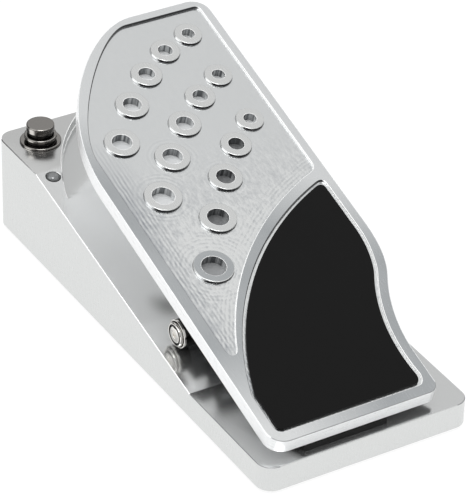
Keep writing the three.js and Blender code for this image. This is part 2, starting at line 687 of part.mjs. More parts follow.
// potentiometer: square case and threaded neck, open through for the shaft
piece(pot, 'potentiometer', cut(
  union(
    box(BRACKET_X + BRACKET_T + 0.1, 16.8, -POT_HALF, POT_HALF, -POT_HALF, POT_HALF),
    rod('x', [0, 0, 0], 3.8, BRACKET_X + BRACKET_T + 1, 4.4),
  ),
  rod('x', [0, 0, 0], 0, 30, 2.9 + RUNNING, FINE),
), blackPlastic);
piece(pot, 'pot_nut', cut(
  rod('x', [0, 0, 0], BRACKET_X - 1.9, BRACKET_X - 0.1, 5.6, 6),
  rod('x', [0, 0, 0], 0, 10, 4.5),
), nickel);

// bracket that hangs the potentiometer from the bay's ceiling
const ceilingZ = (y) => rampZ(y) - CEILING - 0.15;
function potBracket() {
  const [near, far] = TAB;
  const sheet = profileAcross([
    [POT_Y - 6, POT_Z - 6], [POT_Y + 6, POT_Z - 6], [far, ceilingZ(far) - 7],
    [far, ceilingZ(far)], [POT_Y - 6, ceilingZ(POT_Y - 6)],
  ], BRACKET_X, BRACKET_X + BRACKET_T);
  const tab = profileAcross([
    [near, ceilingZ(near) - BRACKET_T], [far, ceilingZ(far) - BRACKET_T],
    [far, ceilingZ(far)], [near, ceilingZ(near)],
  ], BRACKET_X, 16);
  return cut(
    union(sheet, tab),
    rod('x', [0, POT_Y, POT_Z], 0, 10, 4.5),
    onRamp(rod('z', [0, 0, 0], -12, 0, 1.3, 12), TAB_SCREW_X, (near + far) / 2),
  );
}

piece(pedal, 'pot_bracket', potBracket(), steel);
const tabScrew = screw({ headR: 2.2, headH: 1.6, shankR: 1.1, length: 5, socketR: 0.8 });
piece(pedal, 'bracket_screw',
  onRamp(moved(tabScrew, 0, 0, -CEILING - BRACKET_T - 1.9), TAB_SCREW_X, (TAB[0] + TAB[1]) / 2), steel);

// ---- electronics --------------------------------------------------------------------

const BOARD_Z = 4.8;
const BOARD_T = 1.6;
const BOARD = { x0: -26, x1: 26, y0: 34, y1: 78 };
const BOARD_HOLES = [[-22, 38], [22, 38]];

function circuitBoard() {
  const top = BOARD_Z + BOARD_T;
  const onTop = (x0, x1, y0, y1, h) => box(x0, x1, y0, y1, top - 0.1, top + h);
  return cut(
    union(
      box(BOARD.x0, BOARD.x1, BOARD.y0, BOARD.y1, BOARD_Z, top),
      onTop(-6, 6, 40, 44, 1.6),
      onTop(-20, -10, 50, 54, 1.6),
      onTop(12, 20, 44, 52, 2.2),
      rod('z', [-16, 64, 0], top - 0.1, top + 3.4, 3, FINE),
      rod('z', [16, 60, 0], top - 0.1, top + 3.4, 2.5, FINE),
    ),
    ...BOARD_HOLES.map(([x, y]) => rod('z', [x, y, 0], 0, 10, 1.6, 12)),
  );
}

piece(pedal, 'circuit_board', circuitBoard(), greenBoard);
BOARD_HOLES.forEach(([x, y], i) => {
  const standoff = turned([[0, 0], [2.6, 0], [2.6, 2], [1.5, 2], [1.5, 4.2], [0, 4.2]], 12);
  standoff.translate(x, y, COVER_TOP + 0.05);
  piece(pedal, `board_standoff_${i + 1}`, standoff, whitePlastic);
});

const HEX = 6;
for (const [name, x] of [['input', INPUT_X], ['output', OUTPUT_X]]) {
  const centre = [x, 0, JACK_Z];
  const inner = HALF_L - TOE_WALL - 0.3;
  piece(pedal, `${name}_jack`, cut(
    union(
      box(x - 7.3, x + 7.3, inner - 25, inner, JACK_Z - 7.3, JACK_Z + 7.3),
      rod('y', centre, inner - 1, HALF_L + 3.9, JACK_R),
    ),
    rod('y', centre, inner - 22, HALF_L + 10, JACK_BORE_R, FINE),
  ), blackPlastic);
  const ring = (from, to, radius, sides) => cut(
    rod('y', centre, HALF_L + from, HALF_L + to, radius, sides),
    rod('y', centre, HALF_L, HALF_L + 10, JACK_R + 0.08),
  );
  piece(pedal, `${name}_jack_washer`, ring(0.1, 0.8, 7.2, ROUND), nickel);
  piece(pedal, `${name}_jack_nut`, ring(0.9, 3.2, 7.8, HEX), nickel);
}

function powerInlet() {
  const centre = [POWER_X, 0, JACK_Z];
  const barrel = union(
    rod('y', centre, HALF_L - 15, HALF_L + 1, POWER_R),
    rod('y', centre, HALF_L + 0.1, HALF_L + 1.7, 6.9),
  );
  return union(
    cut(barrel, rod('y', centre, HALF_L - 9.5, HALF_L + 5, 2.9, FINE)),
    rod('y', centre, HALF_L - 10, HALF_L + 0.3, 1.02, 8),
  );
}

piece(pedal, 'power_inlet', powerInlet(), blackPlastic);
piece(pedal, 'power_inlet_nut', cut(
  rod('y', [POWER_X, 0, JACK_Z], HALF_L - TOE_WALL - 2.6, HALF_L - TOE_WALL - 0.2, 7.5, HEX),
  rod('y', [POWER_X, 0, JACK_Z], 0, HALF_L, POWER_R + 0.08),
), nickel);

// ---- footswitch and lamp ------------------------------------------------------------

const switchAt = [SWITCH_X, SWITCH_Y, 0];
const BODY_TOP = 28;
const BODY_FLOOR = 16;
const STEM_BOTTOM = DECK_Z - 12;
const STEM_R = 4.55;
const SWITCH_HALF = 6.3;
piece(pedal, 'footswitch_body', cut(
  union(
    box(SWITCH_X - SWITCH_HALF, SWITCH_X + SWITCH_HALF, SWITCH_Y - SWITCH_HALF, SWITCH_Y + SWITCH_HALF,
      BODY_FLOOR - 3, BODY_TOP),
    rod('z', switchAt, BODY_TOP - 1, DECK_Z + COLLAR_TOP - 0.3, COLLAR_R),
    rod('z', switchAt, DECK_Z + COLLAR_TOP - 0.31, DECK_Z + COLLAR_TOP, COLLAR_R, ROUND, COLLAR_R - 0.3),
  ),
  rod('z', switchAt, BODY_FLOOR, DECK_Z + 10, STEM_R + 0.12),
), gunmetal);
piece(pedal, 'footswitch_nut', cut(
  rod('z', switchAt, BODY_TOP + 0.2, BODY_TOP + 2.8, 7, HEX),
  rod('z', switchAt, 0, 50, COLLAR_R + 0.08),
), nickel);
piece(pedal, 'footswitch_flange', cut(
  union(
    rod('z', switchAt, DECK_Z + 0.05, DECK_Z + 0.55, 7.64),
    rod('z', switchAt, DECK_Z + 0.54, DECK_Z + 0.85, 7.64, ROUND, 7.3),
  ),
  rod('z', switchAt, 0, 50, COLLAR_R + 0.08),
), gunmetal);

const button = turned([
  [0, STEM_BOTTOM], [STEM_R, STEM_BOTTOM], [STEM_R, DECK_Z + CAP_TOP - 2.6],
  [4.85, DECK_Z + CAP_TOP - 2.6], [5.02, DECK_Z + CAP_TOP - 2.3], [5.02, DECK_Z + CAP_TOP - 0.6],
  [4.6, DECK_Z + CAP_TOP - 0.1], [4.2, DECK_Z + CAP_TOP], [0, DECK_Z + CAP_TOP],
]);
button.translate(SWITCH_X, SWITCH_Y, 0);
piece(pedal, 'footswitch_button', button, gunmetal);

class Helix extends THREE.Curve {
  constructor(radius, height, turns) {
    super();
    Object.assign(this, { radius, height, turns });
  }

  getPoint(t, target = new THREE.Vector3()) {
    const angle = 2 * Math.PI * this.turns * t;
    return target.set(this.radius * Math.cos(angle), this.radius * Math.sin(angle), this.height * t);
  }
}

const WIRE_R = 0.35;
const springLength = STEM_BOTTOM - BODY_FLOOR - 2 * WIRE_R - 0.3;
const wire = new THREE.Shape();
wire.absarc(0, 0, WIRE_R, 0, 2 * Math.PI);
const spring = new THREE.ExtrudeGeometry(wire, {
  steps: 40,
  curveSegments: 3,
  bevelEnabled: false,
  extrudePath: new Helix(3.3, springLength, 5),
});
spring.translate(SWITCH_X, SWITCH_Y, BODY_FLOOR + WIRE_R + 0.15);
piece(pedal, 'footswitch_spring', solid(spring), steel);

piece(pedal, 'status_lamp', onRamp(solid(turned([
  [0, -8], [LAMP_R, -8], [LAMP_R, 0.1], [2.3, 0.5], [1.7, 0.85], [0.9, 1.05], [0, 1.1],
], FINE)), LAMP_X, LAMP_Y), lampLens);

// ---- origin -------------------------------------------------------------------------

const middle = new THREE.Box3().setFromObject(pedal).getCenter(new THREE.Vector3());
pedal.position.set(-middle.x, -middle.y, 0);

export default pedal;
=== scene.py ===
import math

import bmesh
import bpy
from mathutils import Matrix, Vector
from mathutils.geometry import tessellate_polygon
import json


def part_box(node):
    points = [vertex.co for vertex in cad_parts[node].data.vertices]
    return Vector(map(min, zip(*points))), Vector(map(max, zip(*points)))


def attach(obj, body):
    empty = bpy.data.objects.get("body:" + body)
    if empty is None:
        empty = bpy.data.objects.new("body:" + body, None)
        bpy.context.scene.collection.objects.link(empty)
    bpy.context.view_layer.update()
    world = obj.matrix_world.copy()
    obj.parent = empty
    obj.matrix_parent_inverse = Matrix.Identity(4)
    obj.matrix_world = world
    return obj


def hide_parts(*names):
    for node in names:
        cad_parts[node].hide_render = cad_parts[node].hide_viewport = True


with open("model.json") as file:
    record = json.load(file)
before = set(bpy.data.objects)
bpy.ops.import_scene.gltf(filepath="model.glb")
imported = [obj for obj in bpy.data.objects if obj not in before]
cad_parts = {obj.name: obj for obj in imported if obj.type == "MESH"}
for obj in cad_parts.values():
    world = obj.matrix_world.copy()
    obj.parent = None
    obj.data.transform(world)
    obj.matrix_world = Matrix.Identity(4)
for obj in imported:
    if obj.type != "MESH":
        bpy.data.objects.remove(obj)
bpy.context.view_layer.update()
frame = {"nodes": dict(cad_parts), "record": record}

# ---- frame ------------------------------------------------------------------------------
# Sizes are in millimetres. The base's x, y and z start on the floor under its middle. The treadle's
# u, v and w start on its top face, at its heel edge on the base's middle line; v runs towards the toe.

MM = 0.001
base_low, base_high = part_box("base_housing")
AT_BASE = Matrix.Translation(Vector(((base_low.x + base_high.x) / 2, (base_low.y + base_high.y) / 2, 0)))

HALF_W, HALF_L = 41.0, 96.35        # the base's half width and half length
FOOT_H, HEEL_Z, DECK_Z = 1.2, 11.0, 37.9            # the base's underside, heel plate and toe deck
KINK_Y, DECK_Y = -46.5, 64.7        # the ramp's heel end and toe end
RAMP_SLOPE = (DECK_Z - HEEL_Z) / (DECK_Y - KINK_Y)
RAMP_ANGLE = math.atan(RAMP_SLOPE)
TILT = math.radians(16.5)           # the treadle at rest, heel down
TOE_DOWN_TILT = math.radians(1.8)   # and at the other end of its travel
PIVOT_Y, PIVOT_Z = -27.7, 22.3      # the axle in the base's frame
PIVOT_V, PIVOT_DEPTH = 65.2, 15.8   # the axle in the treadle's frame
TREADLE_T = 5.74
TREADLE_Y = PIVOT_Y - PIVOT_V * math.cos(TILT) - PIVOT_DEPTH * math.sin(TILT)
TREADLE_Z = PIVOT_Z - PIVOT_V * math.sin(TILT) + PIVOT_DEPTH * math.cos(TILT)
AT_TREADLE = (
    AT_BASE
    @ Matrix.Translation(Vector((0, TREADLE_Y, TREADLE_Z)) * MM)
    @ Matrix.Rotation(TILT, 4, "X")
)


def ramp_z(y):
    """Height of the ramp's surface."""
    return HEEL_Z + (y - KINK_Y) * RAMP_SLOPE


# ---- camera -----------------------------------------------------------------------------

camera_data = bpy.data.cameras.new("camera")
camera_data.lens = 226.55
camera_data.sensor_width = 36.0
camera_data.shift_x = -0.00096
camera_data.shift_y = -0.00058
camera_data.clip_start = 0.1
camera_data.clip_end = 50.0
camera = bpy.data.objects.new("camera", camera_data)
bpy.context.scene.collection.objects.link(camera)
# the camera's axes and place, in metres, in the base's frame
camera.matrix_world = AT_BASE @ Matrix((
    (0.85976, 0.26676, -0.43548, -0.48028),
    (-0.51031, 0.48194, -0.71226, -0.79144),
    (0.01988, 0.83461, 0.55049, 0.64022),
    (0, 0, 0, 1),
))
bpy.context.scene.camera = camera
bpy.context.scene.view_settings.view_transform = "Standard"

# ---- outlines: lists of (x, y) points, counterclockwise ---------------------------------


def arc(cx, cy, r, start, end, steps):
    """Points on a circle between two angles."""
    return [
        (cx + r * math.cos(start + (end - start) * i / steps),
         cy + r * math.sin(start + (end - start) * i / steps))
        for i in range(steps + 1)
    ]


def bezier(controls, steps):
    """A Bezier curve of any degree through its first and last control points."""
    degree = len(controls) - 1
    points = []
    for i in range(steps + 1):
        t = i / steps
        weights = [math.comb(degree, k) * t ** k * (1 - t) ** (degree - k) for k in range(degree + 1)]
        points.append(tuple(sum(w * p[axis] for w, p in zip(weights, controls)) for axis in (0, 1)))
    return points


def tidy(points):
    """The closed outline without repeated points."""
    kept = []
    for p in points:
        if not kept or math.dist(p, kept[-1]) > 1e-4:
            kept.append(p)
    if math.dist(kept[0], kept[-1]) < 1e-4:
        kept.pop()
    return kept


def offset(points, d):
    """The outline moved along its outward normals; points run counterclockwise."""
    moved = []
    n = len(points)
    for i in range(n):
        before, here, after = points[i - 1], points[i], points[(i + 1) % n]
        normals = []
        for a, b in ((before, here), (here, after)):
            dx, dy = b[0] - a[0], b[1] - a[1]
            length = math.hypot(dx, dy)
            normals.append((dy / length, -dx / length))
        mx, my = normals[0][0] + normals[1][0], normals[0][1] + normals[1][1]
        size = mx * mx + my * my
        moved.append((here[0] + 2 * d * mx / size, here[1] + 2 * d * my / size))
    return moved


def circle(cx, cy, r, steps=48):
    """A full circle without a repeated point."""
    return arc(cx, cy, r, 0, 2 * math.pi * (1 - 1 / steps), steps - 1)


def rounded_rectangle(x0, x1, y0, y1, r, steps=8):
    quarter = math.pi / 2
    return tidy(
        arc(x1 - r, y0 + r, r, -quarter, 0, steps)
        + arc(x1 - r, y1 - r, r, 0, quarter, steps)
        + arc(x0 + r, y1 - r, r, quarter, math.pi, steps)
        + arc(x0 + r, y0 + r, r, math.pi, 3 * quarter, steps)
    )


WAIST = (97.75, 15.8, 68.7)         # u, v and radius of the arc of the treadle's hollow right side
WAIST_END = math.radians(149.8)
RIB = (79.4, -6.1, 117.2)           # the curved rib's edge towards the sunken field
INLAY_ARC = (79.3, -10.7, 115.7)    # the inlay's edge along the rib
INLAY_WAIST_R = 73.6                # the inlay's edge along the waist


def treadle_outline(grow=0.0):
    """The treadle's foot-shaped edge, moved outwards."""
    heel_r, heel_l, toe_r = 4.2 + grow, 6.5 + grow, 7 + grow
    heel_left, left, heel_right, right = -36.8 - grow, -36.4 - grow, 28.9 + grow, 43.9 + grow
    toe = 195.5 + grow
    waist = arc(WAIST[0], WAIST[1], WAIST[2] - grow, math.pi, WAIST_END, 40)
    return tidy(
        arc(heel_right - heel_r, heel_r - grow, heel_r, -math.pi / 2, 0, 8)
        + waist
        + bezier([waist[-1], (42.9 + grow, 58.2), (right, 67), (right, 76)], 12)
        + arc(right - toe_r, toe - toe_r, toe_r, 0, math.pi / 2, 12)
        + bezier([(13, toe), (-4 - grow * 0.5, toe), (left, 162.1 + grow * 0.5), (left, 122.2)], 48)
        + arc(heel_left + heel_l, heel_l - grow, heel_l, math.pi, math.pi * 1.5, 10)
    )


def pocket_outline():
    """The sunken field: its lower edge follows the rib."""
    left, right, toe, corner = -32.0, 40.5, 192.1, 2.5
    cx, cy, r = RIB
    rib = arc(cx, cy, r, math.acos((right - 2.6 - cx) / r), math.radians(156.4), 64)
    tip_u, tip_v = rib[-1]
    return tidy(reversed(
        rib
        + bezier([rib[-1], (tip_u - 0.9, tip_v - 2.2), (left, tip_v - 2.2), (left, tip_v + 1)], 10)
        + bezier([(left, 134), (left, 153.6), (-1.7, toe), (9.7, toe)], 40)
        + bezier([(right - corner, toe), (right, toe), (right, toe - corner)], 8)
        + bezier([(right, 107.4), (right, 104.6), rib[0]], 8)
    ))


def inlay_outline(grow):
    """The inlay's edge, moved outwards."""
    left, right, heel = -31.8 - grow, 39.2 + grow, 5.4 - grow
    heel_right, corner = 24.1 + grow, 2 + grow
    cx, cy, r = INLAY_ARC[0], INLAY_ARC[1], INLAY_ARC[2] + grow
    waist = arc(WAIST[0], WAIST[1], INLAY_WAIST_R - grow, math.pi + 0.1, WAIST_END, 32)
    tip = (right, cy + math.sqrt(r * r - (right - cx) ** 2))
    rib = arc(cx, cy, r, math.acos((right - 3.2 - cx) / r), math.acos((left - cx) / r), 56)
    top = waist[-1]
    return tidy(
        bezier([(heel_right - corner, heel), (heel_right, heel), waist[0]], 8)
        + waist
        + bezier([top, (top[0] + 2.5, top[1] + 4.3), (right, 66), (right, 74)], 8)
        + bezier([(right, tip[1] - 3.4), tip, rib[0]], 8)
        + rib
        + bezier([(left, heel + corner), (left, heel), (left + corner, heel)], 8)
    )


def ring_places():
    """Centre and hole radius of each ring, row by row from the toe, each row from right to left.

    A row starts at (u, v). Each ring is a step to the left and down its slope, and drift and bow bend the
    row. The holes grow to the left.
    """
    rows = (                        # u, step, drift, v, slope, bow, growth of the hole
        (29.8, 12.3, 0, 180.4, 3.1, 1.75, 0.32),
        (30.1, 11.6, 0.1, 157.9, 5.9, 1.4, 0.42),
        (30.1, 10.7, 0.27, 134.3, 7.6, 1.7, 0.51),
    )
    return [
        (u - step * c - drift * c * c, v - slope * c - bow * c * c, 2.42 + grow * c)
        for u, step, drift, v, slope, bow, grow in rows
        for c in range(5)
    ]


# ---- mesh building ----------------------------------------------------------------------


class Solid:
    """Vertices and faces in millimetres, built from rings of points at a height."""

    def __init__(self):
        self.vertices = []
        self.faces = []
        self.marks = []
        self.mark = 0

    def ring(self, outline, z):
        """A loop of vertices at one height, or at a list of heights."""
        first = len(self.vertices)
        heights = z if isinstance(z, list) else [z] * len(outline)
        self.vertices += [(x, y, height) for (x, y), height in zip(outline, heights)]
        return list(range(first, len(self.vertices)))

    def face(self, *indices):
        self.faces.append(indices)
        self.marks.append(self.mark)

    def bridge(self, a, b):
        """A band of faces between two loops."""
        n = len(a)
        for i in range(n):
            j = (i + 1) % n
            self.face(a[i], a[j], b[j], b[i])

    def wall(self, outline, profile):
        """Bridges copies of the outline; profile is a list of (outward offset, z)."""
        rings = [self.ring(offset(outline, d) if d else outline, z) for d, z in profile]
        for a, b in zip(rings, rings[1:]):
            self.bridge(a, b)
        return rings

    def cap(self, *loops):
        """A flat face inside the first loop and outside the others."""
        flat = [i for loop in loops for i in loop]
        triangles = tessellate_polygon([[Vector(self.vertices[i]) for i in loop] for loop in loops])
        for t in triangles:
            self.face(*(flat[k] for k in t))

    def turned(self, profile, steps):
        """A turned surface about the z axis; profile is a list of (radius, z)."""
        rings = [self.ring(circle(0, 0, r, steps) if r else [(0.0, 0.0)], z) for r, z in profile]
        for a, b in zip(rings, rings[1:]):
            if len(a) == 1 or len(b) == 1:
                fan, tip = (b, a[0]) if len(a) == 1 else (a, b[0])
                for i in range(len(fan)):
                    self.face(fan[i], fan[(i + 1) % len(fan)], tip)
            else:
                self.bridge(a, b)


def rounded_edge(r, z, out=0.0, up=True, steps=3):
    """(offset, z) pairs round an outer edge whose corner is at (out, z)."""
    sign = -1 if up else 1
    pairs = []
    for i in range(steps + 1):
        angle = math.pi / 2 * i / steps
        pairs.append((out - r * (1 - math.cos(angle)), z + sign * r * (1 - math.sin(angle))))
    return pairs if up else pairs[::-1]


def to_mesh(name, solid):
    """A Blender mesh in metres; each face's mark is its material's number."""
    mesh = bpy.data.meshes.new(name)
    mesh.from_pydata([tuple(c * MM for c in v) for v in solid.vertices], [], solid.faces)
    for polygon, mark in zip(mesh.polygons, solid.marks):
        polygon.material_index = mark
    work = bmesh.new()
    work.from_mesh(mesh)
    bmesh.ops.remove_doubles(work, verts=work.verts, dist=1e-7)
    bmesh.ops.recalc_face_normals(work, faces=work.faces)
    work.to_mesh(mesh)
    work.free()
    return mesh


def finish_normals(obj, angle):
    """Smooth shading, with edges sharper than the angle, in degrees, kept crisp."""
    obj.data.shade_smooth()
    obj.data.set_sharp_from_angle(angle=math.radians(angle))
    weighted = obj.modifiers.new("weighted_normals", "WEIGHTED_NORMAL")
    weighted.keep_sharp = True


def new_object(name, data):
    obj = bpy.data.objects.new(name, data)
    bpy.context.scene.collection.objects.link(obj)
    return obj


def add(name, solid, materials, body, place, replaces, angle=40):
    """A finished piece that rides on a body and stands for CAD nodes."""
    obj = new_object(name, to_mesh(name, solid))
    obj.matrix_world = place
    for material in materials:
        obj.data.materials.append(material)
    finish_normals(obj, angle)
    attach(obj, body)
    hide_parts(*replaces)


# ---- materials --------------------------------------------------------------------------


class Shader:
    """A short way to write node trees."""

    def __init__(self, name):
        self.material = bpy.data.materials.new(name)
        self.material.use_nodes = True
        self.tree = self.material.node_tree
        self.surface = self.tree.nodes["Principled BSDF"]

    def node(self, kind, **settings):
        node = self.tree.nodes.new(kind)
        for key, value in settings.items():
            if key in node.inputs:
                node.inputs[key].default_value = value
            else:
                setattr(node, key, value)
        return node

    def link(self, out, into):
        self.tree.links.new(out, into)

    def set(self, **values):
        """Constants on the surface's own sockets."""
        for key, value in values.items():
            self.surface.inputs[key.replace("_", " ")].default_value = value

    def math(self, operation, a, b=0.0, c=0.0, clamp=False):
        node = self.node("ShaderNodeMath", operation=operation, use_clamp=clamp)
        for i, value in enumerate((a, b, c)):
            if isinstance(value, bpy.types.NodeSocket):
                self.link(value, node.inputs[i])
            else:
                node.inputs[i].default_value = value
        return node.outputs[0]

    def scaled(self, x, y, z):
        """Object coordinates in millimetres, each axis multiplied."""
        where = self.node("ShaderNodeTexCoord").outputs["Object"]
        mapping = self.node("ShaderNodeMapping")
        mapping.inputs["Scale"].default_value = (x * 1000, y * 1000, z * 1000)
        self.link(where, mapping.inputs["Vector"])
        return mapping.outputs[0]

    def position(self):
        """Object coordinates in millimetres, as separate x, y and z."""
        parts = self.node("ShaderNodeSeparateXYZ")
        self.link(self.scaled(1, 1, 1), parts.inputs[0])
        return parts.outputs

    def normal(self):
        return self.node("ShaderNodeTexCoord").outputs["Normal"]

    def dot(self, vector, direction):
        node = self.node("ShaderNodeVectorMath", operation="DOT_PRODUCT")
        self.link(vector, node.inputs[0])
        node.inputs[1].default_value = direction
        return node.outputs["Value"]

    def length(self, a, b):
        return self.math("SQRT", self.math("ADD", self.math("MULTIPLY", a, a), self.math("MULTIPLY", b, b)))

    def noise(self, vector, detail=3.0, roughness=0.5):
        noise = self.node("ShaderNodeTexNoise", Scale=1.0, Detail=detail, Roughness=roughness)
        self.link(vector, noise.inputs["Vector"])
        return noise.outputs["Fac"]

    def ranged(self, value, low, high, to_low, to_high):
        """A value's range turned into another, and held at its ends."""
        node = self.node("ShaderNodeMapRange")
        self.link(value, node.inputs["Value"])
        for key, number in (("From Min", low), ("From Max", high), ("To Min", to_low), ("To Max", to_high)):
            node.inputs[key].default_value = number
        return node.outputs["Result"]

    def rough(self, noise, low, high):
        """Roughness that follows a noise."""
        self.link(self.ranged(noise, 0.3, 0.7, low, high), self.surface.inputs["Roughness"])

    def bump(self, height, depth):
        """Relief of a depth in millimetres."""
        bump = self.node("ShaderNodeBump", Strength=1.0, Distance=depth * MM)
        self.link(height, bump.inputs["Height"])
        self.link(bump.outputs[0], self.surface.inputs["Normal"])

    def glow(self, colour, strength):
        self.link(colour, self.surface.inputs["Emission Color"])
        self.set(Emission_Strength=strength)

    def shades(self, value, dark, light):
        """Base colour between two shades."""
        ramp = self.node("ShaderNodeMix", data_type="RGBA")
        ramp.inputs[6].default_value = (*dark, 1)
        ramp.inputs[7].default_value = (*light, 1)
        self.link(value, ramp.inputs[0])
        self.link(ramp.outputs[2], self.surface.inputs["Base Color"])
        return ramp.outputs[2]


CLOUDING = 0.03                     # how much darker brushed metal gets in places


def brushed(name, colour, roughness, strokes, depth, spread=0.05, metallic=1.0):
    """Metal brushed in one direction; strokes is a stroke's size along each axis, in millimetres."""
    s = Shader(name)
    s.set(Metallic=metallic)
    lines = s.noise(s.scaled(*(1 / size for size in strokes)), detail=4.0, roughness=0.6)
    clouds = s.noise(s.scaled(0.05, 0.05, 0.05), detail=2.0)
    s.rough(lines, roughness - spread, roughness + spread)
    dark = tuple(c * (1 - CLOUDING) for c in colour)
    s.shades(s.math("MULTIPLY_ADD", clouds, 0.6, s.math("MULTIPLY", lines, 0.4)), dark, colour)
    s.bump(lines, depth)
    return s.material


def plain(name, dark, light, roughness, grain, depth, metallic=0.0, spread=0.06, **more):
    """Moulded, cast or plated finish, with grain of a size and depth in millimetres."""
    s = Shader(name)
    s.set(Metallic=metallic, **more)
    fine = s.noise(s.scaled(1 / grain, 1 / grain, 1 / grain), detail=3.0)
    wide = s.noise(s.scaled(0.08, 0.08, 0.08), detail=2.0)
    s.rough(fine, roughness - spread, roughness + spread)
    s.shades(s.math("MULTIPLY_ADD", wide, 0.5, s.math("MULTIPLY", fine, 0.5)), dark, light)
    s.bump(fine, depth)
    return s.material


LENGTHWISE = (0.15, 8.0, 0.15)      # strokes along the base's polished top
deck_metal = brushed("deck_polished", (0.78, 0.785, 0.78), 0.23, LENGTHWISE, 0.0001, 0.02)
ramp_metal = brushed("ramp_polished", (0.79, 0.80, 0.80), 0.18, LENGTHWISE, 0.0001, 0.02, metallic=0.96)
# painted shade: the recess floor is a darker tone than the deck
recess_metal = brushed("recess_polished", (0.745, 0.755, 0.755), 0.20, LENGTHWISE, 0.0001, 0.02)
side_metal = brushed("side_satin", (0.67, 0.68, 0.675), 0.30, (0.12, 0.12, 3.0), 0.0008)
treadle_edge = brushed("treadle_edge", (0.86, 0.87, 0.875), 0.30, (6.0, 6.0, 0.1), 0.0003, metallic=0.45)
ring_metal = brushed("ring_top", (0.80, 0.81, 0.805), 0.26, (0.12, 6.0, 0.12), 0.0006)
edge_metal = plain("polished_edge", (0.95, 0.95, 0.95), (0.98, 0.98, 0.98), 0.25, 0.5, 0.0001, 0.25, 0.03)
hole_floor = plain("hole_floor", (0.44, 0.45, 0.455), (0.52, 0.53, 0.535), 0.5, 0.3, 0.0004, 0.1)
hole_dark = plain("hole_dark", (0.02, 0.021, 0.022), (0.24, 0.245, 0.25), 0.35, 0.8, 0.002, 0.3)
hole_dull = plain("hole_dull", (0.18, 0.185, 0.19), (0.28, 0.285, 0.29), 0.35, 0.8, 0.002, 0.3)
black_thread_and_shade = plain("black_thread_and_shade", (0.012, 0.012, 0.012), (0.03, 0.028, 0.026), 0.22, 0.3, 0.002, 1.0)
bright_nickel = plain("bright_nickel", (0.77, 0.76, 0.73), (0.85, 0.83, 0.80), 0.16, 0.4, 0.0006, 1.0, 0.04)
zinc = plain("zinc_plate", (0.52, 0.53, 0.54), (0.62, 0.63, 0.64), 0.28, 0.3, 0.001, 1.0)
bronze = plain("bronze", (0.45, 0.29, 0.13), (0.58, 0.38, 0.17), 0.3, 0.25, 0.002, 1.0)
black_metal = plain("black_anodised", (0.015, 0.015, 0.016), (0.024, 0.024, 0.026), 0.35, 0.2, 0.001, 0.6)
rubber = plain(
    "black_rubber", (0.006, 0.006, 0.006), (0.011, 0.011, 0.011), 0.7, 0.35, 0.004, Specular_IOR_Level=0.2,
)
black_plastic = plain("black_plastic", (0.014, 0.014, 0.015), (0.022, 0.022, 0.023), 0.45, 0.3, 0.003)
white_nylon = plain("white_nylon", (0.72, 0.71, 0.66), (0.82, 0.81, 0.76), 0.45, 0.3, 0.002)
green_board = plain("green_board", (0.015, 0.12, 0.045), (0.025, 0.16, 0.06), 0.35, 0.5, 0.001)
inlay_black = plain(
    "inlay_black", (0.0035, 0.0035, 0.0035), (0.0045, 0.0045, 0.0045), 0.35, 0.25, 0.0004, spread=0.04,
    Specular_IOR_Level=0.10,
)
lamp_lens = plain("lamp_lens", (0.15, 0.155, 0.158), (0.20, 0.207, 0.21), 0.10, 0.6, 0.0003, 0.4)
lamp_rim = plain("lamp_rim", (0.03, 0.032, 0.033), (0.07, 0.073, 0.075), 0.2, 0.6, 0.0003)


def plated_nickel():
    """Dark nickel; painted shade blackens the turned sides, with one painted highlight streak to the front
    left.
    """
    s = Shader("dark_nickel")
    s.set(Metallic=1.0)
    fine = s.noise(s.scaled(2.5, 2.5, 2.5))
    s.rough(fine, 0.09, 0.14)
    # painted highlight: a pale streak where the faces turn towards the front left
    streak = s.ranged(s.dot(s.normal(), (-0.910, -0.415, 0.0)), 0.962, 0.995, 0.0, 0.68)
    # painted light: faces that turn upwards are paler than the sides
    upward = s.ranged(s.dot(s.normal(), (0.0, 0.0, 1.0)), 0.2, 0.6, 0.0, 0.30)
    tone = s.math("MULTIPLY_ADD", fine, 0.08, s.math("MAXIMUM", streak, upward))
    s.shades(tone, (0.055, 0.050, 0.046), (0.86, 0.83, 0.79))
    s.bump(fine, 0.0005)
    return s.material


def hole_wall_material():
    """Bored wall: streaks down the hole, painted shade that keeps it dark, a painted highlight on one side.
    """
    s = Shader("hole_wall")
    s.set(Metallic=1.0, Roughness=0.14)
    streaks = s.noise(s.scaled(0.9, 0.9, 0.02), detail=1.5)
    # painted highlight on the side that faces left and towards the toe
    shine = s.ranged(s.dot(s.normal(), (-0.90, 0.43, 0.0)), 0.70, 0.90, 0.0, 1.0)
    tone = s.math("ADD", s.ranged(streaks, 0.42, 0.64, 0.0, 0.5), shine, clamp=True)
    s.shades(tone, (0.13, 0.135, 0.14), (0.86, 0.87, 0.87))
    return s.material


def wall_material(name, direction, start, end, metallic):
    """Steep cut walls: a painted highlight where they face one direction, painted shade elsewhere."""
    s = Shader(name)
    s.set(Metallic=metallic, Roughness=0.15)
    mottle = s.math("MULTIPLY", s.noise(s.scaled(0.8, 0.8, 0.8), detail=2.0), 0.12)
    # painted highlight and painted shade, set by the way the wall faces
    bright = s.ranged(s.math("ADD", s.dot(s.normal(), direction), mottle), start, end, 0.0, 1.0)
    s.shades(bright, (0.035, 0.036, 0.038), (0.96, 0.965, 0.965))
    return s.material


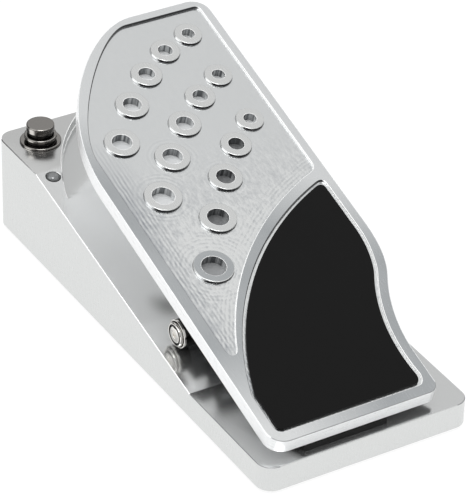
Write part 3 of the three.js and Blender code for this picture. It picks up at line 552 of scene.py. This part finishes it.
def satin_top():
    """The treadle's upper face: fine lengthwise brushing; painted light pales the toe and the heel's left
    corner.
    """
    s = Shader("treadle_satin")
    s.set(Metallic=1.0)
    u, v, _ = s.position()
    lines = s.noise(s.scaled(8.0, 0.17, 8.0), detail=4.0, roughness=0.6)
    clouds = s.noise(s.scaled(0.045, 0.045, 0.045), detail=2.0)
    s.rough(lines, 0.24, 0.28)
    # painted light: paler towards the toe and round the heel's left corner, darker in between
    toe = s.ranged(s.math("MULTIPLY_ADD", u, 0.9, v), 90.0, 134.0, 0.0, 0.81)
    corner = s.ranged(s.length(s.math("ADD", u, 36.0), v), 6.0, 48.0, 1.0, 0.0)
    cloudy = s.math("MULTIPLY_ADD", clouds, 0.45, -0.12)
    tone = s.math("MAXIMUM", s.math("MAXIMUM", toe, corner), cloudy)
    s.shades(s.math("MULTIPLY_ADD", lines, 0.09, tone), (0.455, 0.478, 0.492), (0.90, 0.915, 0.92))
    s.bump(lines, 0.0002)
    return s.material


def underside():
    """Bead-blasted underside; painted shade by the pivot and the heel's edge, glowing painted light to the
    toe.
    """
    s = Shader("blasted_underside")
    s.set(Metallic=0.1, Roughness=0.6)
    u, v, _ = s.position()
    grain = s.noise(s.scaled(5, 5, 5))
    # painted shade: a dark oval smear, slanted across the plate, whose centre is where both of these are 0
    along = s.math("MULTIPLY_ADD", u, -0.07, s.math("MULTIPLY_ADD", v, 0.105, -11.51))
    over = s.math("MULTIPLY_ADD", u, 0.17, s.math("MULTIPLY_ADD", v, 0.112, -8.02))
    painted_shade = s.ranged(s.length(along, over), 0.2, 1.2, 0.85, 0.0)
    # painted light: pale bands at the heel, towards the toe and by the left edge
    heel = s.math("MULTIPLY", s.ranged(v, 12.0, 42.0, 0.0, 0.6), s.ranged(v, 50.0, 58.0, 1.0, 0.0))
    side = s.math("MAXIMUM", s.ranged(u, -27.0, -17.0, 0.84, 1.0), s.ranged(v, 92.0, 104.0, 1.0, 0.0))
    toe = s.math("MULTIPLY", s.ranged(v, 73.0, 80.0, 0.0, 0.93), side)
    toe = s.math("MULTIPLY", toe, s.ranged(v, 128.0, 155.0, 0.94, 1.12))
    edge = s.math("MULTIPLY", s.ranged(u, -27.0, -23.0, 0.7, 0.0), s.ranged(v, 59.5, 62.5, 1.0, 0.0))
    pale = s.math("MAXIMUM", s.math("ADD", heel, toe), edge)
    tone = s.math("SUBTRACT", pale, s.math("MULTIPLY", pale, painted_shade))
    colour = s.shades(s.math("MULTIPLY_ADD", grain, 0.07, tone), (0.03, 0.03, 0.03), (0.88, 0.885, 0.89))
    # painted light: the underside glows in its own colour, though it is no lamp
    s.glow(colour, 0.31)
    s.bump(grain, 0.002)
    return s.material


MARK_PITCH = 1.45                   # spacing of the cutter's passes along an edge
RING_PITCH = 1.7                    # and round a ring
MARKED_RINGS = (                    # number of the ring, how far its passes reach, their strength
    (14, 12.0, 0.8), (13, 5.0, 0.5), (9, 6.0, 0.6), (12, 4.5, 0.3), (8, 4.5, 0.3),
)
RING_WALL = 2.78                    # from a ring's hole to its outer edge
MARK_RELIEF = 0.055


def milled_floor():
    """Sunken field cut along its edges: ridges follow the left wall and the rib and circle some rings."""
    s = Shader("milled_floor")
    s.set(Metallic=1.0)
    u, v, _ = s.position()
    shiver = s.math("MULTIPLY", s.noise(s.scaled(0.3, 0.14, 0.3), detail=2.0), 1.1)
    patches = s.ranged(s.noise(s.scaled(0.11, 0.11, 0.11), detail=1.0), 0.38, 0.62, 0.35, 1.0)

    def beyond(cu, cv, r):
        """Distance outside a circle."""
        return s.math("SUBTRACT", s.length(s.math("SUBTRACT", u, cu), s.math("SUBTRACT", v, cv)), r)

    def passes(distance, reach, strength, pitch):
        """Ridges at equal distances from an edge, fading out at their reach."""
        wave = s.math("SINE", s.math("MULTIPLY", s.math("ADD", distance, shiver), 2 * math.pi / pitch))
        return s.math("MULTIPLY", wave, s.ranged(distance, reach * 0.45, reach, strength, 0.0))

    low = s.ranged(v, 112.0, 146.0, 1.0, 0.0)
    wall = s.math("ADD", u, 32.0)
    marks = s.math("MULTIPLY", passes(wall, 11.0, 1.3, MARK_PITCH), low)
    marks = s.math("ADD", marks, s.math("MULTIPLY", passes(beyond(*RIB), 8.0, 0.9, MARK_PITCH), low))
    places = ring_places()
    for index, reach, strength in MARKED_RINGS:
        cu, cv, hole = places[index]
        marks = s.math("ADD", marks, passes(beyond(cu, cv, hole + RING_WALL), reach, strength, RING_PITCH))
    marks = s.math("MULTIPLY", marks, patches)
    chatter = s.math("SUBTRACT", s.noise(s.scaled(0.75, 0.32, 0.7), detail=4.0, roughness=0.75), 0.5)
    chatter = s.math("MULTIPLY", chatter, s.ranged(v, 98.0, 130.0, 1.35, 0.10))
    pattern = s.math("MULTIPLY_ADD", chatter, 2.1, s.math("MULTIPLY", marks, 0.36))
    s.rough(s.noise(s.scaled(4, 4, 4), detail=2.0), 0.19, 0.25)
    # painted shade: darker along the left wall low on the field; painted light: paler at the field's heel
    # end, below v 108
    shade = s.math("MULTIPLY", s.ranged(wall, 1.0, 12.0, 0.42, 0.0), low)
    shade = s.math("SUBTRACT", shade, s.ranged(v, 84.0, 108.0, 0.22, 0.0))
    tone = s.math("SUBTRACT", s.math("MULTIPLY_ADD", pattern, 0.62, 0.78), shade, clamp=True)
    s.shades(tone, (0.405, 0.43, 0.46), (0.90, 0.915, 0.912))
    s.bump(pattern, MARK_RELIEF)
    return s.material


dark_nickel = plated_nickel()
hole_wall = hole_wall_material()
floor_metal = milled_floor()
under_metal = underside()
treadle_metal = satin_top()
# painted highlight and painted shade on the rings' walls and on the walls of the field and the inlay's
# recess
ring_side = wall_material("ring_side", (-0.996, 0.087, 0.0), 0.74, 0.97, 1.0)
field_side = wall_material("field_side", (-0.80, 0.55, 0.24), 0.1, 0.5, 0.35)
SLOT_MATERIALS = {
    "polished_aluminium": deck_metal,
    "satin_aluminium": treadle_metal,
    "black_inlay": inlay_black,
    "black_aluminium": black_metal,
    "bronze": bronze,
    "black_rubber": rubber,
    "dark_nickel": dark_nickel,
    "bright_nickel": bright_nickel,
    "black_plastic": black_plastic,
    "white_nylon": white_nylon,
    "green_board": green_board,
    "lamp_lens": lamp_lens,
    "zinc_steel": zinc,
}

# ---- base -------------------------------------------------------------------------------


def prism(outline, z0, z1):
    """An upright prism between two heights."""
    solid = Solid()
    low, high = solid.ring(outline, z0), solid.ring(outline, z1)
    solid.bridge(low, high)
    solid.cap(low)
    solid.cap(high)
    return solid


def prism_along_x(points, x0, x1):
    """A prism along X from an outline of (y, z) points."""
    solid = Solid()
    ends = []
    for x in (x0, x1):
        first = len(solid.vertices)
        solid.vertices += [(x, y, z) for y, z in points]
        ends.append(list(range(first, len(solid.vertices))))
    solid.bridge(*ends)
    for end in ends:
        solid.cap(end)
    return solid


def cylinder(r, start, end, place):
    """A cylinder along its own z axis, then placed by a matrix in millimetres."""
    solid = Solid()
    solid.turned([(0, start), (r, start), (r, end), (0, end)], steps=48)
    solid.vertices = [tuple(place @ Vector(v)) for v in solid.vertices]
    return solid


def apply_modifiers(target):
    graph = bpy.context.evaluated_depsgraph_get()
    result = bpy.data.meshes.new_from_object(target.evaluated_get(graph))
    target.modifiers.clear()
    target.data = result


def cut(target, solid):
    """Takes a solid's shape out of an object's mesh."""
    cutter = new_object("cutter", to_mesh("cutter", solid))
    modifier = target.modifiers.new("cut", "BOOLEAN")
    modifier.operation = "DIFFERENCE"
    modifier.solver = "EXACT"
    modifier.object = cutter
    apply_modifiers(target)
    bpy.data.objects.remove(cutter)


def base_blank():
    """The base's block: a rounded footprint under a heel plate, ramp and deck."""
    outline = rounded_rectangle(-HALF_W, HALF_W, -HALF_L, HALF_L, CORNER_R, 10)
    marked = []                     # the outline with points where its sides pass the ramp's ends
    for i, here in enumerate(outline):
        after = outline[(i + 1) % len(outline)]
        marked.append(here)
        crossings = [y for y in (KINK_Y, DECK_Y) if (here[1] - y) * (after[1] - y) < 0]
        for y in sorted(crossings, key=lambda c: abs(c - here[1])):
            marked.append((here[0], y))
    top = [HEEL_Z if y <= KINK_Y else DECK_Z if y >= DECK_Y else ramp_z(y) for _, y in marked]
    solid = Solid()
    low = solid.ring(marked, FOOT_H)
    high = solid.ring(marked, top)
    solid.bridge(low, high)
    solid.cap(low)
    for start, end in ((-HALF_L, KINK_Y), (KINK_Y, DECK_Y), (DECK_Y, HALF_L)):
        solid.face(*(i for i, (_, y) in zip(high, marked) if start - 1e-6 <= y <= end + 1e-6))
    return solid


CORNER_R = 5.8
BAY_HEEL_Y = -38.0                  # heel end of the electronics bay
BAY_TOP = 31.0
SIDE_WALL, TOE_WALL, CEILING = 5.0, 4.5, 3.2        # walls round the bay
RECESS_Z = 34.2                     # floor of the recess that the toe sinks into
RECESS_CLEARANCE = 2.4
COVER_INSET, COVER_TOP = 2.2, 3.0   # rebate for the bottom cover
SLOT_X, SLOT_Y = 4.0, (-21.5, 14.0)                 # opening in the ramp for the gear sector
SWITCH = (-28.6, 84.5)
LAMP = (-35.6, 61.5)
SWITCH_HOLE_R, LAMP_HOLE_R = 5.75, 2.65
JACK_Z = 17.5
INPUT_X, OUTPUT_X, POWER_X = 27.0, 8.0, -11.5
JACK_HOLE_R, POWER_HOLE_R = 4.9, 5.65
# y of the treadle's heel edge when the toe is down
RECESS_SHIFT = PIVOT_Y - PIVOT_V - (PIVOT_DEPTH - TREADLE_T / 2) * math.sin(TOE_DOWN_TILT)

base = new_object("base_shell", to_mesh("base_shell", base_blank()))
ceiling_meets_ramp = KINK_Y + (BAY_TOP + CEILING - HEEL_Z) / RAMP_SLOPE
cut(base, prism_along_x([
    (BAY_HEEL_Y, 0), (HALF_L - TOE_WALL, 0), (HALF_L - TOE_WALL, BAY_TOP), (ceiling_meets_ramp, BAY_TOP),
    (BAY_HEEL_Y, ramp_z(BAY_HEEL_Y) - CEILING),
], SIDE_WALL - HALF_W, HALF_W - SIDE_WALL))
recess_outline = [(u, v + RECESS_SHIFT) for u, v in treadle_outline(RECESS_CLEARANCE)]
cut(base, prism(recess_outline, RECESS_Z, DECK_Z + 5))
cover_x, cover_y = HALF_W - COVER_INSET, HALF_L - COVER_INSET
cut(base, prism(rounded_rectangle(-cover_x, cover_x, -cover_y, cover_y, 3.5), 0, COVER_TOP))
cut(base, prism(rounded_rectangle(-SLOT_X, SLOT_X, *SLOT_Y, 0.4, 2), 2, 60))
cut(base, cylinder(SWITCH_HOLE_R, 20, 60, Matrix.Translation((*SWITCH, 0))))
on_ramp = Matrix.Translation((*LAMP, ramp_z(LAMP[1]))) @ Matrix.Rotation(RAMP_ANGLE, 4, "X")
cut(base, cylinder(LAMP_HOLE_R, -12, 5, on_ramp))
for x, r in ((INPUT_X, JACK_HOLE_R), (OUTPUT_X, JACK_HOLE_R), (POWER_X, POWER_HOLE_R)):
    towards_toe = Matrix.Translation((x, 0, JACK_Z)) @ Matrix.Rotation(-math.pi / 2, 4, "X")
    cut(base, cylinder(r, HALF_L - 8, HALF_L + 2, towards_toe))

# the base's materials by number
FLAT, RAMP, WALLS, EDGES, EDGE_SHADE, RECESS = range(6)
for material in (deck_metal, ramp_metal, side_metal, edge_metal, hole_dull, recess_metal):
    base.data.materials.append(material)
for polygon in base.data.polygons:
    level, height = polygon.normal.z > 0.99, polygon.center.z / MM
    if level and abs(height - RECESS_Z) < 0.5:
        polygon.material_index = RECESS
    elif level and height > DECK_Z - 1:
        polygon.material_index = FLAT
    elif polygon.normal.z > 0.5:
        polygon.material_index = RAMP
    else:
        polygon.material_index = WALLS
bevel = base.modifiers.new("edge_break", "BEVEL")
bevel.width = 0.22 * MM
bevel.segments = 1
bevel.limit_method = "ANGLE"
bevel.material = EDGES
bevel.angle_limit = math.radians(32)
bevel.use_clamp_overlap = False
apply_modifiers(base)
for polygon in base.data.polygons:
    if polygon.material_index != EDGES:
        continue
    x, y, z = polygon.center / MM
    if x < 0.5 - HALF_W and z > DECK_Z - 0.5:           # the deck's left edge
        polygon.material_index = FLAT
    elif math.dist((x, y), LAMP) < 4:                   # round the lamp
        polygon.material_index = RAMP
    elif y < KINK_Y - 2 and z > HEEL_Z - 1:             # round the heel plate, with painted shade on its edges at the sides
        polygon.material_index = EDGE_SHADE if abs(x) > 34 else WALLS
base.matrix_world = AT_BASE
finish_normals(base, 40)
for edge in base.data.edges:        # the crease between the heel plate and the ramp is crisp
    if all(abs(base.data.vertices[i].co.y / MM - KINK_Y) < 0.05 for i in edge.vertices):
        edge.use_edge_sharp = True
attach(base, "base")
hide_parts("base_housing")

# ---- treadle ----------------------------------------------------------------------------

HOLE_DEPTH = 3.4
POCKET_DEPTH = 1.0                  # of the sunken field and the inlay's recess
POCKET_EDGE = 0.2                   # rounding of their upper edge
RING_EDGE = 0.24                    # rounding of a ring's outer edge
RECESS_MARGIN = 1.2                 # how far the inlay's recess is wider than the inlay
LUG_SCREW_U, LUG_SCREW_V = 19.5, 5.6                # the lugs' screws, from the middle and from the axle
# the treadle's materials by number
(TOP, SIDE, BROKEN, FIELD, UNDER, BORE, BORE_SATIN, BORE_DARK, RING_TOP, BORE_DULL, RING_SIDE,
 FIELD_SIDE) = range(12)
# painted shade: the holes of these rings get a dark floor, and the hole of ring 14 a mid-grey one
DARK_HOLES = (11, 12, 13)           # rings whose holes have a dark floor
DULL_HOLE = 14


def ring_profile(hole, top):
    """A ring's (radius, w, material up to the next point), from the field to its hole's floor."""
    outer, low = hole + RING_WALL, -POCKET_DEPTH
    return [
        (outer + 0.10, low, RING_SIDE), (outer + 0.03, low + 0.03, RING_SIDE),
        (outer, low + 0.10, RING_SIDE),
        *((outer + out, w, RING_TOP) for out, w in rounded_edge(RING_EDGE, 0.0, steps=5)[:-1]),
        (outer - RING_EDGE, 0.0, top), (hole + 0.12, 0.0, BROKEN), (hole + 0.03, -0.03, BROKEN),
        (hole, -0.12, BORE), (hole, -HOLE_DEPTH, None),
    ]


def treadle_plate():
    solid = Solid()
    solid.mark = SIDE
    sides = solid.wall(treadle_outline(), rounded_edge(0.3, -TREADLE_T, up=False) + rounded_edge(0.3, 0.0))
    for index, face in enumerate(solid.faces):          # painted shade: a dark line along the heel's upper edge
        corners = [solid.vertices[i] for i in face]
        if min(w for _, _, w in corners) > -0.2 and max(v for _, v, _ in corners) < 4.0:
            solid.marks[index] = BORE_DULL
    # an opening in the top face: rounded edge, wall, small fillet, floor
    round_in = [(-out, w) for out, w in rounded_edge(POCKET_EDGE, 0.0)[::-1]]
    opening = [*round_in, (0.0, -POCKET_DEPTH + 0.14), (-0.04, -POCKET_DEPTH + 0.04), (-0.14, -POCKET_DEPTH)]
    solid.mark = FIELD_SIDE
    pocket = solid.wall(pocket_outline(), opening)
    recess = solid.wall(inlay_outline(RECESS_MARGIN), opening)
    floor_holes = []
    for index, (u, v, hole) in enumerate(ring_places()):
        profile = ring_profile(hole, TOP if index == DULL_HOLE else RING_TOP)
        rings = [solid.ring(circle(u, v, r, 56), w) for r, w, _ in profile]
        for a, b, (_, _, mark) in zip(rings, rings[1:], profile):
            solid.mark = mark
            solid.bridge(a, b)
        solid.mark = BORE_DARK if index in DARK_HOLES else BORE_DULL if index == DULL_HOLE else BORE_SATIN
        solid.cap(rings[-1])
        floor_holes.append(rings[0])
    solid.mark = TOP
    solid.cap(sides[-1], pocket[0], recess[0])
    solid.mark = FIELD
    solid.cap(pocket[-1], *floor_holes)
    solid.cap(recess[-1])
    solid.mark = UNDER
    screws = []
    for u in (-LUG_SCREW_U, LUG_SCREW_U):
        for v in (PIVOT_V - LUG_SCREW_V, PIVOT_V + LUG_SCREW_V):
            hole = solid.wall(circle(u, v, 1.6, 16), [(0, -TREADLE_T), (0, -TREADLE_T + 3.2)])
            solid.cap(hole[-1])
            screws.append(hole[0])
    solid.cap(sides[0], *screws)
    return solid


add("treadle_deck", treadle_plate(),
    [treadle_metal, treadle_edge, edge_metal, floor_metal, under_metal, hole_wall, hole_floor, hole_dark,
     ring_metal, hole_dull, ring_side, field_side],
    "treadle", AT_TREADLE, ["treadle_plate"])

inlay = Solid()
loops = inlay.wall(inlay_outline(0.0), [(0, -0.95), *rounded_edge(0.12, -0.1)])
inlay.cap(loops[0])
inlay.cap(loops[-1])
add("inlay_panel", inlay, [inlay_black], "treadle", AT_TREADLE, ["treadle_inlay"])

# ---- turned and hexagonal pieces --------------------------------------------------------


def lathe(name, profile, materials, body, place, replaces, marks=None, extra=None):
    """A turned piece, with a material's number for each band of its profile, and an extra solid in it.

    A profile that stays off the axis closes on itself into a ring.
    """
    solid = extra or Solid()
    if profile[0][0] > 0:
        profile = [*profile, profile[0]]
    marks = marks or [0] * len(profile)
    for (a, b), mark in zip(zip(profile, profile[1:]), marks):
        solid.mark = mark
        solid.turned([a, b], steps=72)
    add(name, solid, materials, body, place, replaces, angle=38)


def hexagon(r):
    corners = [math.radians(60 * i + 30) for i in range(6)]
    return [(r * math.cos(angle), r * math.sin(angle)) for angle in corners]


def hex_nut(name, r, bore, z0, z1, place, replaces):
    """A nut from z0 to z1 with broken edges; r is the radius to its corners."""
    solid = Solid()
    sides = [solid.ring(hexagon(r), z0 + 0.1), solid.ring(hexagon(r), z1 - 0.35)]
    solid.bridge(*sides)
    shoulder = solid.ring(hexagon(r * 0.93), z1)
    solid.bridge(sides[1], shoulder)
    seat = solid.ring(hexagon(r * 0.98), z0)
    solid.bridge(seat, sides[0])
    bottom, top = solid.ring(circle(0, 0, bore), z0), solid.ring(circle(0, 0, bore + 0.2), z1)
    lip = solid.ring(circle(0, 0, bore), z1 - 0.2)
    solid.cap(seat, bottom)
    solid.cap(shoulder, top)
    solid.bridge(bottom, lip)
    solid.bridge(lip, top)
    add(name, solid, [bright_nickel], "base", place, [replaces])


def placed(x, y, z, turn=0.0):
    """A place in the base's frame, turned about X."""
    return AT_BASE @ Matrix.Translation(Vector((x, y, z)) * MM) @ Matrix.Rotation(turn, 4, "X")


on_deck = placed(*SWITCH, DECK_Z)
lathe("footswitch_plate", [
    (5.75, 0.05), (7.5, 0.05), (7.61, 0.1), (7.64, 0.22), (7.64, 0.5), (7.6, 0.66), (7.5, 0.78),
    (7.36, 0.84), (7.2, 0.85), (5.75, 0.85),
], [dark_nickel], "base", on_deck, ["footswitch_flange"])
switch_case = prism(rounded_rectangle(-6.3, 6.3, -6.3, 6.3, 0.5, 3), 13 - DECK_Z, 28 - DECK_Z)
switch_case.marks = [1] * len(switch_case.faces)
lathe("footswitch_barrel", [
    (4.7, -9.9), (4.7, 2.8), (4.74, 3.0), (4.86, 3.14), (5.05, 3.2), (5.55, 3.2), (5.8, 3.14), (5.98, 2.98),
    (6.06, 2.75), (6.06, 2.3), (5.98, 2.1), (5.75, 2.0), (5.55, 1.95), (5.55, 1.6), (5.65, 1.5), (5.65, 1.2),
    (5.5, 1.1), (5.6, 0.95), (5.6, -9.9),
], [dark_nickel, black_thread_and_shade], "base", on_deck, ["footswitch_body"],
    marks=[1] + [0] * 9 + [1] * 10, extra=switch_case)
lathe("footswitch_cap", [
    (0, -12), (4.55, -12), (4.55, 4.8), (4.85, 4.85), (5.12, 4.95), (5.2, 5.15), (5.2, 6.85), (5.17, 7.08),
    (5.07, 7.27), (4.9, 7.42), (4.68, 7.49), (4.45, 7.5), (0, 7.5),
], [dark_nickel, black_thread_and_shade], "switch_plunger", on_deck, ["footswitch_button"],
    marks=[1] * 3 + [0] * 9)
lathe("status_lens", [
    (0, -8), (2.5, -8), (2.5, -0.05), (2.45, 0.1), (2.2, 0.16), (2.08, 0.2), (1.95, 0.42), (1.7, 0.64),
    (1.35, 0.83), (0.9, 0.98), (0.45, 1.07), (0, 1.1),
], [lamp_lens, lamp_rim], "base", placed(*LAMP, ramp_z(LAMP[1]), RAMP_ANGLE), ["status_lamp"],
    marks=[1] * 5 + [0] * 6)

for name, x in (("input", INPUT_X), ("output", OUTPUT_X)):
    at = placed(x, HALF_L, JACK_Z, -math.pi / 2)
    case = prism(rounded_rectangle(-7.3, 7.3, -7.3, 7.3, 0.6, 3), -29.8, -4.8)
    lathe(f"{name}_socket", [
        (0, -26), (3.25, -26), (3.25, 3.5), (3.35, 3.75), (3.6, 3.9), (4.45, 3.9), (4.7, 3.75), (4.75, 3.5),
        (4.75, -5.5), (0, -5.5),
    ], [black_plastic], "base", at, [f"{name}_jack"], extra=case)
    lathe(f"{name}_washer", [
        (4.85, 0.1), (7.1, 0.1), (7.2, 0.2), (7.2, 0.65), (7.05, 0.8), (4.85, 0.8),
    ], [bright_nickel], "base", at, [f"{name}_jack_washer"])
    hex_nut(f"{name}_hex_nut", 7.8, 4.83, 0.9, 3.2, at, f"{name}_jack_nut")

for number, (x, y) in enumerate(((-30, -86), (30, -86), (-30, 84), (30, 84)), 1):
    lathe(f"foot_{number}", [
        (0, 0), (5.9, 0), (6.2, 0.05), (6.5, 0.2), (6.7, 0.4), (6.8, 0.7), (6.8, 1.0), (0, 1.0),
    ], [rubber], "base", placed(x, y, 0), [f"rubber_foot_{number}"])


def end_screw():
    """Button head with a hexagonal socket, its face at z = 0 and its shank below."""
    solid = Solid()
    profile = [                     # radius, z, and the material from there on: 0 nickel, 1 black: painted shade in the groove round the face
        (4.35, -1.1, 0), (4.35, -0.5, 0), (4.3, -0.25, 0), (4.15, -0.06, 0), (4.0, -0.02, 0),
        (3.8, -0.08, 1), (3.7, -0.45, 1), (3.0, -0.45, 1), (2.95, -0.1, 0), (2.8, 0, 0),
    ]
    rings = [solid.ring(circle(0, 0, r, 64), z) for r, z, _ in profile]
    for a, b, (_, _, mark) in zip(rings, rings[1:], profile):
        solid.mark = mark
        solid.bridge(a, b)
    solid.mark = 0
    socket = [solid.ring(hexagon(r), z) for r, z in ((1.55, 0), (1.45, -0.1), (1.45, -0.7))]
    solid.cap(rings[-1], socket[0])
    solid.bridge(*socket[:2])
    solid.bridge(*socket[1:])
    solid.cap(socket[-1])
    shank = [solid.ring(circle(0, 0, 1.4, 32), z) for z in (-1.1, -10)]
    solid.cap(rings[0], shank[0])
    solid.bridge(*shank)
    solid.cap(shank[-1])
    return solid


COLLAR_FACE = 35.2                  # outer face of each collar, from the middle
SCREW_PROUD = 1.1                   # how far the screw's head stands out of the collar
AT_AXLE = AT_TREADLE @ Matrix.Translation(Vector((0, PIVOT_V, -PIVOT_DEPTH)) * MM)
for side, sign in (("left", -1), ("right", 1)):
    outward = Matrix.Rotation(sign * math.pi / 2, 4, "Y")
    collar_at = AT_AXLE @ Matrix.Translation((sign * COLLAR_FACE * MM, 0, 0)) @ outward
    # the collar's black bands are painted shade: its side, its groove, its bore and the face under the
    # screw's head
    lathe(f"axle_end_collar_{side}", [
        (1.6, -5.1), (5.0, -5.1), (5.1, -5.0), (5.1, -0.9), (5.2, -0.8), (5.2, -0.25), (5.15, -0.08),
        (5.03, 0), (4.86, 0), (4.76, -0.05), (4.74, -0.3), (1.6, -0.3),
    ], [bright_nickel, black_thread_and_shade], "treadle", collar_at, [f"axle_collar_{side}"],
        marks=[1] * 4 + [0] * 5 + [1] * 3)
    screw_at = AT_AXLE @ Matrix.Translation((sign * (COLLAR_FACE + SCREW_PROUD) * MM, 0, 0)) @ outward
    add(f"end_screw_{side}", end_screw(), [bright_nickel, black_thread_and_shade],
        "treadle", screw_at, [f"axle_end_screw_{side}"], angle=30)

# ---- CAD nodes that keep their shape ----------------------------------------------------

LIT_PATCH_W, LIT_PATCH_U = -10.9, -25.0       # painted light patch on the left lug, above the first and left of the second


def lug_black(node):
    """Black finish; a painted light patch at the outer end of the left lug's foot, and a faint painted glow.
    """
    s = Shader("lug_black")
    s.set(Metallic=0.2)
    u_row, _, w_row, _ = AT_TREADLE.inverted() @ node.matrix_world
    grain = s.noise(s.scaled(4, 4, 4))
    u = s.dot(s.scaled(1, 1, 1), u_row[:3])
    w = s.math("MULTIPLY_ADD", grain, 0.8, s.dot(s.scaled(1, 1, 1), w_row[:3]))
    edge_u, edge_w = LIT_PATCH_U - u_row[3] / MM, LIT_PATCH_W - w_row[3] / MM
    outer = s.ranged(u, edge_u - 0.6, edge_u + 0.6, 1.0, 0.0)
    lit_patch = s.math("MULTIPLY", s.ranged(w, edge_w, edge_w + 0.9, 0.0, 1.0), outer)
    colour = s.shades(s.math("MULTIPLY_ADD", grain, 0.01, lit_patch), (0.018, 0.018, 0.019), (0.92, 0.92, 0.92))
    # painted light: the lug glows in its colour, most on the light patch
    s.glow(colour, 0.2)
    s.rough(grain, 0.30, 0.42)
    s.bump(grain, 0.001)
    return s.material


for part in frame["record"]["subparts"]:
    node = frame["nodes"].get(part["node"])
    if node is None or node.hide_render:
        continue
    node.data.materials.clear()
    is_lug = part["node"].startswith("pivot_lug")
    node.data.materials.append(lug_black(node) if is_lug else SLOT_MATERIALS[part["material_slot"]])
    soften = node.modifiers.new("edge_break", "BEVEL")
    soften.width = 0.12 * MM
    soften.segments = 2
    soften.limit_method = "ANGLE"
    soften.angle_limit = math.radians(35)
    finish_normals(node, 35)

# ---- floor and light --------------------------------------------------------------------

floor_shader = Shader("floor_white")
floor_shader.set(Roughness=0.9, Base_Color=(0.12, 0.12, 0.12, 1))
floor_shader.set(Emission_Color=(1, 1, 1, 1), Emission_Strength=0.88)
floor_mesh = bpy.data.meshes.new("floor")
FLOOR = 6.0                         # half its side, in metres
floor_mesh.from_pydata(
    [(-FLOOR, -FLOOR, 0), (FLOOR, -FLOOR, 0), (FLOOR, FLOOR, 0), (-FLOOR, FLOOR, 0)], [], [(0, 1, 2, 3)],
)
floor_mesh.materials.append(floor_shader.material)
floor = new_object("floor", floor_mesh)

world = bpy.data.worlds.new("studio")
bpy.context.scene.world = world
world.use_nodes = True
tree = world.node_tree
background = tree.nodes["Background"]
direction = tree.nodes.new("ShaderNodeTexCoord").outputs["Generated"]


def lobe(axis, start, end, amount):
    """Light that grows smoothly with the angle's cosine towards an axis."""
    dot = tree.nodes.new("ShaderNodeVectorMath")
    dot.operation = "DOT_PRODUCT"
    tree.links.new(direction, dot.inputs[0])
    dot.inputs[1].default_value = Vector(axis).normalized()
    span = tree.nodes.new("ShaderNodeMapRange")
    span.interpolation_type = "SMOOTHSTEP"
    tree.links.new(dot.outputs["Value"], span.inputs["Value"])
    for key, value in (("From Min", start), ("From Max", end), ("To Min", 0.0), ("To Max", amount)):
        span.inputs[key].default_value = value
    return span.outputs["Result"]


def plus(light, more):
    """The sum of a number or socket and a socket."""
    node = tree.nodes.new("ShaderNodeMath")
    node.operation = "ADD"
    if isinstance(light, bpy.types.NodeSocket):
        tree.links.new(light, node.inputs[0])
    else:
        node.inputs[0].default_value = light
    tree.links.new(more, node.inputs[1])
    return node.outputs[0]


AMBIENT = 0.016
LOBES = (                           # axis, cosines where it starts and is full, strength
    ((0.36, 0.2, 0.911), 0.42, 0.76, 0.62),             # a wide ceiling light
    ((0, 0.25, 0.97), 0.7, 1.0, 0.14),                  # brighter overhead
    ((-0.854, 0.075, 0.515), 0.82, 0.92, 1.5),          # a panel on the left
    ((-0.20, -0.42, 0.885), 0.935, 0.975, 4.5),         # a small bright panel above the heel
    ((0.1, -0.75, 0.65), 0.5, 0.9, 0.45),               # a faint wide fill at the heel's side
)
light = AMBIENT
for values in LOBES:
    light = plus(light, lobe(*values))
tree.links.new(light, background.inputs["Strength"])
background.inputs["Color"].default_value = (1, 1, 1, 1)

disk = bpy.data.lights.new("overhead", "AREA")
disk.shape = "DISK"
disk.size = 2.0
disk.energy = 36
overhead = new_object("overhead", disk)
overhead.location = (-0.3, 0.0, 2.5)
overhead.visible_glossy = False

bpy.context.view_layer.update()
import json
